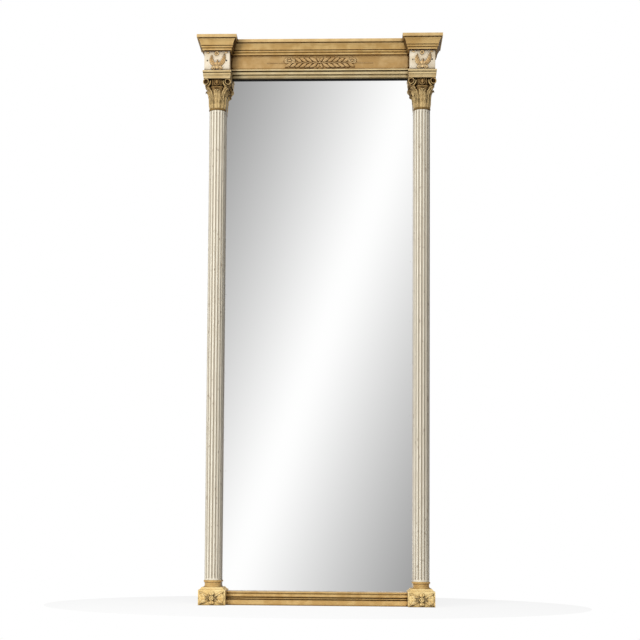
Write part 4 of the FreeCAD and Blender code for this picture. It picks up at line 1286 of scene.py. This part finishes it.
@dataclass
class Capital:
    """One column's capital: bell, leaves, corner scrolls, egg band and abacus, in millimetres."""

    side: Side
    bell_foot: float = 1332.3
    band_foot: float = 1389.3
    abacus_foot: float = 1408.3
    abacus_half: float = 38.2
    abacus_ease: float = 0.4
    leaf_skin: float = 1.3
    scroll_reach: float = 28.4
    scroll_radius: float = 9.5
    scroll_lean: float = 16.0
    scroll_rise: float = 1.5
    scroll_steps: int = 64
    loop_steps: int = 20
    bell_profile: Line = (
        (0.0, 0.0), (20.8, 0.0), (20.9, 12.0), (21.3, 26.0), (22.6, 36.0), (24.8, 45.0),
        (27.4, 51.0), (27.8, 52.4), *arc_points((27.8, 52.4), (30.4, 54.7), (27.8, 57.0), 8),
        (0.0, 57.0),
    )
    band_profile: Line = (
        (0.0, 0.0), (26.0, 0.0), *arc_points((26.0, 0.0), (30.6, 10.0), (29.4, 19.0), 10),
        (0.0, 19.0),
    )
    abacus_profile: Line = (
        (-2.6, 0.0), *arc_points((-2.6, 0.0), (-2.3, 4.2), (-1.0, 7.8), 5), (-3.0, 7.8),
        (-3.0, 9.1), (-1.2, 9.1), (-1.2, 14.8), (-4.4, 14.8), (-4.4, 16.8), (0.0, 16.8),
        (0.0, 22.0),
    )
    tall: LeafForm = LeafForm(19.0, 1.9, 6.0, 0.16, 0.9, 1.0, 0.3, 0.5, 0.9, (44, 20))
    corner: LeafForm = LeafForm(15.0, 1.9, 5.0, 0.18, 1.0, 1.1, 0.4, 0.55, 0.7, (48, 20))
    short: LeafForm = LeafForm(7.5, 2.0, 3.0, 0.16, 0.8, 0.9, 0.3, 0.5, 0.8, (34, 16))
    tall_line: Line = (
        (20.8, 0.3), (20.9, 16.0), (21.6, 30.0), (23.6, 41.0), (28.0, 48.0), (32.0, 48.4),
        (33.0, 44.5),
    )
    corner_line: Line = (
        (20.6, 0.3), (20.8, 18.0), (21.8, 32.0), (26.8, 42.5), (34.6, 50.0), (40.0, 53.0),
        (42.0, 50.5),
    )
    short_line: Line = (
        (21.0, 0.3), (21.1, 13.0), (21.8, 24.0), (23.4, 30.5), (26.0, 32.4), (26.8, 30.6),
    )
    bracket: Line = ((19.0, 30.0), (24.0, 41.0), (31.5, 50.5), (39.0, 58.0))
    stalk: tuple[float, ...] = (1.1, 1.4, 1.6, 1.7, 1.7, 1.5, 1.2, 0.7)

    def build(self) -> None:
        """Make every piece of the capital."""
        self.bell()
        self.leaves()
        self.scrolls()
        self.egg_band()
        self.abacus()

    def around(self, turn: float, radius: float, height: float) -> Vector:
        """Point at a turn from the front round the column's axis, in the row frame."""
        across, out = math.sin(math.radians(turn)), math.cos(math.radians(turn))
        return spot(self.side.axis + radius * across, COLUMN_DEPTH + radius * out, height)

    def outward(self, turn: float) -> Vector:
        """Direction away from the column's axis at a turn from the front."""
        return (self.around(turn, 1.0, 0.0) - self.around(turn, 0.0, 0.0)).normalized()

    def bell(self) -> None:
        """Turn the bell with its rim."""
        work = Sculpt(self.side)
        work.turned(self.bell_foot, self.bell_profile)
        work.piece("bell", DARK_GILT, "capital_bell")

    def bell_leaf(self, work: Sculpt, form: LeafForm, line: Line, turn: float) -> None:
        """Carve one leaf up the bell at a turn from the front, in degrees."""
        spine = BellSpine(self.side.axis, COLUMN_DEPTH, self.bell_foot, turn, line)
        work.leaf(form, spine.place, self.leaf_skin)

    def leaves(self) -> None:
        """Carve the leaves round the bell: tall, corner and short ones."""
        work = Sculpt(self.side)
        for turn in (-90.0, 0.0, 90.0):
            self.bell_leaf(work, self.tall, self.tall_line, turn)
        for turn in (-45.0, 45.0):
            self.bell_leaf(work, self.corner, self.corner_line, turn)
            path = [self.around(turn, out, self.bell_foot + rise) for out, rise in self.bracket]
            work.sweep(path, (4.0, 5.5, 6.5, 7.0), (2.0, 3.0, 3.4, 3.0), self.outward(turn))
        for turn in (-67.5, -22.5, 22.5, 67.5):
            self.bell_leaf(work, self.short, self.short_line, turn)
        work.piece("bell_leaves", DARK_GILT, "capital_leaves", LEAFY)

    def scrolls(self) -> None:
        """Carve the two corner scrolls as spiral bands round a sunk eye, with their stalks."""
        work = Sculpt(self.side)
        lean = math.radians(self.scroll_lean)
        shares = [number / self.scroll_steps for number in range(self.scroll_steps + 1)]
        for hand in HANDS:
            diagonal = Vector((hand * math.cos(lean), math.sin(lean), 0.0))
            axle = Vector((hand * math.sin(lean), -math.cos(lean), 0.0))
            centre = spot(
                self.side.axis + hand * self.scroll_reach, COLUMN_DEPTH + self.scroll_reach,
                self.abacus_foot - self.scroll_radius + self.scroll_rise,
            )
            path = []
            for share in shares:
                turn = math.tau * (1.05 * share) - 0.9
                radius = (self.scroll_radius - 1.7) * (1.0 - 0.1 * share)
                out = diagonal * math.sin(turn) + UPWARD * math.cos(turn)
                path.append(centre + out * radius * MM)
            thick = [1.7 - 0.3 * share for share in shares]
            work.sweep(path, thick, [5.4 - 1.2 * share for share in shares], axle, 12)
            eye = [centre - axle * 5.2 * MM, centre - axle * 2.8 * MM]
            work.rod(eye, 7.6, 7.6, UPWARD, 24)
            stalk = []
            for number in range(len(self.stalk)):
                turn = math.radians(-10.0 + 14.0 * number)
                out = diagonal * -12.0 * math.cos(turn) - UPWARD * 12.4 * math.sin(turn)
                stalk.append(centre + out * MM)
            work.sweep(stalk, self.stalk, [size * 2.2 for size in self.stalk], axle)
        work.piece("scrolls", SCROLL_GILT, "capital_volutes", CARVED)

    def egg_band(self) -> None:
        """Carve the egg and dart band between the scrolls."""
        work = Sculpt(self.side)
        foot = self.band_foot
        work.turned(foot, self.band_profile)
        for turn in (-90.0, 0.0, 90.0):
            work.bead(self.around(turn, 30.4, foot + 10.0), (4.0, 4.0, 6.6), -turn, 18)
            loop = []
            for number in range(self.loop_steps + 1):
                bend = math.radians(-150.0 + 300.0 * number / self.loop_steps)
                reach, height = 31.0 + 0.8 * math.cos(bend), foot + 10.5 - 9.0 * math.cos(bend)
                loop.append(self.around(turn + 14.0 * math.sin(bend), reach, height))
            work.rod(loop, 1.1, 1.6, self.outward(turn))
            for side in (turn - 21.0, turn + 21.0):
                dart = [self.around(side, 31.4, foot + rise) for rise in (2.0, 7.0, 13.0, 17.5)]
                work.sweep(dart, (0.4, 1.2, 1.7, 1.0), (0.8, 1.4, 1.8, 1.2), self.outward(side))
        work.piece("egg_band", DARK_GILT, "capital_echinus", CARVED)

    def abacus(self) -> None:
        """Run the abacus moulding round three sides."""
        work = Sculpt(self.side)
        work.mitred(
            self.abacus_profile, self.abacus_half, COLUMN_DEPTH + self.abacus_half, FRAME_FRONT,
            self.abacus_foot, self.abacus_ease,
        )
        work.piece("abacus_moulding", PALE_GILT, "abacus")


@dataclass
class Plinth:
    """One column's carved foot: block with hollow shoulders and a rosette, in millimetres."""

    side: Side
    half: float = 35.65
    front: float = 122.5
    ease: float = 0.7
    profile: Line = (
        (0.0, 0.0), (0.0, 40.5), *arc_points((0.0, 40.5), (-4.8, 43.3), (-8.0, 47.5), 8),
    )
    rosette_height: float = 19.2
    corner_reaches: tuple[Pair, Pair] = ((1.0, 18.0), (-1.0, 16.2))
    upright_reaches: Pair = (17.2, 19.4)
    boss_radius: float = 5.0
    boss_lift: float = 5.0
    boss_steps: int = 24
    corner: LeafForm = LeafForm(7.0, 6.4, belly=0.55, steps=(30, 12))
    level: LeafForm = LeafForm(31.0, 5.6, 3.0, 0.12, 1.5, 1.4, 0.5, 0.7, 0.5, (40, 24))
    upright: LeafForm = LeafForm(13.5, 7.0, rib=1.6, belly=0.62, steps=(22, 14))

    def build(self) -> None:
        """Make the block and its rosette."""
        work = Sculpt(self.side)
        work.mitred(self.profile, self.half, self.front, FRAME_BACK, 0.0, self.ease)
        work.piece("plinth", BRIGHT_GILT, "plinth_block")
        self.rosette()

    def rosette(self) -> None:
        """Carve leaves to the corners and sides, petals above and below and a ringed boss."""
        work = Sculpt(self.side)
        across, height = work.axis, self.rosette_height
        centre = (across, self.front, height)
        for hand, upright in zip(HANDS, self.upright_reaches):
            for rise, reach in self.corner_reaches:
                bend, tip = (hand * 17.0, rise * reach * 0.42), (hand * 32.5, rise * reach)
                work.lay(self.corner, centre, (hand * 4.0, rise * 2.0), bend, tip)
            work.lay(self.level, centre, (hand * 3.5, 0.0), (hand * 16.0, 0.6), (hand * 34.5, 0.5))
            tip = (0.5, hand * upright)
            work.lay(self.upright, centre, (0.0, hand * 3.0), (1.0, hand * 10.0), tip)
        boss = (across, self.front + self.boss_lift, height)
        work.rod(circle_points(boss, self.boss_radius, self.boss_steps), 1.5, 2.6, FORWARD)
        work.bead(spot(across, self.front + 3.4, height), (4.4, 3.4, 4.4))
        work.piece("rosette", BRIGHT_GILT, "plinth_rosette", CARVED)


@dataclass
class BottomRail:
    """Reeded moulding along the foot of the glass, in millimetres."""

    reach: float = 239.85
    ease: float = 0.4
    profile: Line = (
        (0.0, 0.0), (20.0, 0.0), (20.0, 7.5),
        *arc_points((20.0, 7.5), (18.9, 11.0), (15.0, 14.5), 6), (8.5, 14.5), (8.5, 17.3),
        (12.5, 17.3), (12.5, 19.5), (8.5, 19.5), (8.5, 22.3), (11.2, 22.3),
        *arc_points((11.2, 22.3), (15.0, 26.1), (11.2, 29.9), 8), (8.5, 29.9), (8.5, 32.7),
        (10.0, 32.7), (10.0, 36.4), (0.0, 36.4),
    )

    def build(self) -> None:
        """Run the moulding."""
        work = Sculpt()
        work.straight(self.profile, FRAME_FRONT, 0.0, self.reach, self.ease)
        work.piece("reeded_bottom_moulding", GILT, "bottom_moulding")


class Dressing:
    """Finishes for the CAD nodes that keep their own shape, by the ends of their names."""

    finishes: tuple[tuple[Finish, tuple[str, ...]], ...] = (
        (CREAM, ("column_shaft",)),
        (CARCASS, ("stile", "top_rail")),
        (GILT, ("column_base",)),
        (SHADED_RING_GILT, ("necking_ring",)),
        (FRIEZE_GILT, ("frieze_board",)),
        (RAIL_WOOD, ("bottom_rail", "glazing_blocks")),
        (PEG_WOOD, ("corner_dowels", "column_dowels")),
        (STEEL, ("column_screws", "die_screws", "back_panel_screws", "hanger_screws")),
        (STEEL, ("hanger_plate", "hanger_ring")),
        (IRON, ("palmette_pins",)),
        (MIRROR, ("mirror_plate",)),
        (BOARD, ("back_panel",)),
        (FELT, ("wall_pads",)),
        (GREY_SLIP, ("left_sight_slip", "right_sight_slip", "bottom_sight_slip")),
        (SHADOW_SLIP, ("sight_slip",)),
    )

    def dress(self, nodes: dict[str, bpy.types.Object]) -> None:
        """Give each shown node its finish.

        Args:
            nodes: CAD nodes by name.
        """
        for name, node in nodes.items():
            if node.hide_render:
                continue
            finish = next(made for made, ends in self.finishes if name.endswith(ends))
            node.data.materials.clear()
            node.data.materials.append(finish.material())
            log.info("%s: %s", name, finish.name)


@dataclass
class Studio:
    """Camera, lamps, floor and surroundings, in metres."""

    camera_place: Triple = (0.10404, -4.33438, -1.07741)
    camera_right: Triple = (0.99898318, 0.04446117, 0.00747036)
    camera_forward: Triple = (-0.04487719, 0.99651377, 0.07033025)
    camera_up: Triple = (-0.00431735, -0.07059399, 0.99749579)
    lens: float = 90.0
    sensor: float = 36.0
    shift: Pair = (0.05491, 0.16466)
    far: float = 100.0
    lamp_target: Triple = (0.0, 0.0, -0.3)
    floor_middle: Triple = (0.0, -0.05, -1.2551)
    floor_radius: float = 0.72
    floor_grey: float = 0.92
    floor_glow: float = 0.85
    band_turn: Pair = (962.0, 353.0)
    band_start: float = 64.5
    band_width: float = 118.0
    band_peak: float = 268.4
    band_round: float = 180.0
    band_gain: float = 1.04
    fill_light: float = 0.15

    def build(self) -> None:
        """Set up the whole studio."""
        self.camera()
        self.floor()
        self.lamp("key", (-1.6, -2.935, -0.1), 1.2, 98.0)
        self.lamp("top", (0.2, -1.235, 2.2), 1.0, 36.0)
        self.world()
        bpy.context.scene.view_settings.view_transform = "Standard"

    def camera(self) -> None:
        """Place the camera as the photograph was taken."""
        data = bpy.data.cameras.new("camera")
        data.lens = self.lens
        data.sensor_width = self.sensor
        data.shift_x, data.shift_y = self.shift
        data.clip_end = self.far
        made = show("camera", data)
        axes = (Vector(self.camera_right), Vector(self.camera_up), -Vector(self.camera_forward))
        turn = Matrix(axes).transposed().to_4x4()
        made.matrix_world = Matrix.Translation(self.camera_place) @ turn
        bpy.context.scene.camera = made

    def lamp(self, name: str, place: Triple, size: float, power: float) -> None:
        """Hang a soft square lamp that faces the frame.

        Args:
            name: Name of the lamp.
            place: Its middle in the row frame.
            size: Width in metres.
            power: Power in watts.
        """
        data = bpy.data.lights.new(name, "AREA")
        data.size = size
        data.energy = power
        made = show(name, data)
        made.location = place
        aim = Vector(self.lamp_target) - Vector(place)
        made.rotation_euler = aim.to_track_quat("-Z", "Y").to_euler()
        made.visible_glossy = False

    def floor(self) -> None:
        """Lay a pale round floor that keeps a faint shadow."""
        shape = bmesh.new()
        middle = Matrix.Translation(self.floor_middle)
        bmesh.ops.create_circle(
            shape, cap_ends=True, segments=96, radius=self.floor_radius, matrix=middle
        )
        mesh = bpy.data.meshes.new("floor")
        shape.to_mesh(mesh)
        shape.free()
        made = show("floor", mesh)
        paper = bpy.data.materials.new("floor_paper")
        paper.use_nodes = True
        shade = Shade(paper.node_tree)
        grey = (self.floor_grey, self.floor_grey, self.floor_grey, 1.0)
        matt = shade.node("ShaderNodeBsdfDiffuse", {}, {"Color": grey})
        glow = shade.node("ShaderNodeEmission", {}, {"Color": PURE_WHITE, "Strength": 1.0})
        seen = shade.ray("Camera").most(shade.ray("Glossy")).most(shade.ray("Transmission"))
        sockets = {0: seen * self.floor_glow, 1: matt, 2: glow}
        shade.end("ShaderNodeOutputMaterial", shade.node("ShaderNodeMixShader", {}, sockets))
        mesh.materials.append(paper)

    def world(self) -> None:
        """White surroundings, which gloss sees as soft slanting bands of grey and white."""
        world = bpy.data.worlds.new("studio")
        bpy.context.scene.world = world
        world.use_nodes = True
        shade = Shade(world.node_tree)
        x, y, z = shade.parts(shade.node("ShaderNodeTexCoord", out="Generated"))
        across, upwards = self.band_turn
        azimuth, height = x.math("ARCTAN2", 0.0 - y), z.math("ARCSINE")
        slant = azimuth * across - height * upwards + self.band_start
        band = slant.math("PINGPONG", self.band_width)
        grey = (self.band_peak - (band * band + self.band_round) ** 0.5) / 255.0
        mirrored = grey**2.2 * self.band_gain
        gloss = shade.ray("Glossy")
        camera = shade.ray("Camera").most(shade.ray("Transmission"))
        lit = self.fill_light + camera * (1.0 - self.fill_light)
        level = lit * (1.0 - gloss) + mirrored * gloss
        sockets = {"Color": PURE_WHITE, "Strength": level}
        shade.end("ShaderNodeOutputWorld", shade.node("ShaderNodeBackground", {}, sockets))


def main() -> None:
    """Build the frame's pieces in order, dress them and set up the studio."""
    logging.basicConfig(level=logging.INFO, format="%(message)s")
    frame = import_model()
    Cornice().build()
    Architrave().build()
    for side in Side:
        Die(side).build()
    Spray().build()
    for side in Side:
        Capital(side).build()
        Plinth(side).build()
    BottomRail().build()
    Dressing().dress(frame["nodes"])
    Studio().build()


if __name__ == "__main__":
    main()
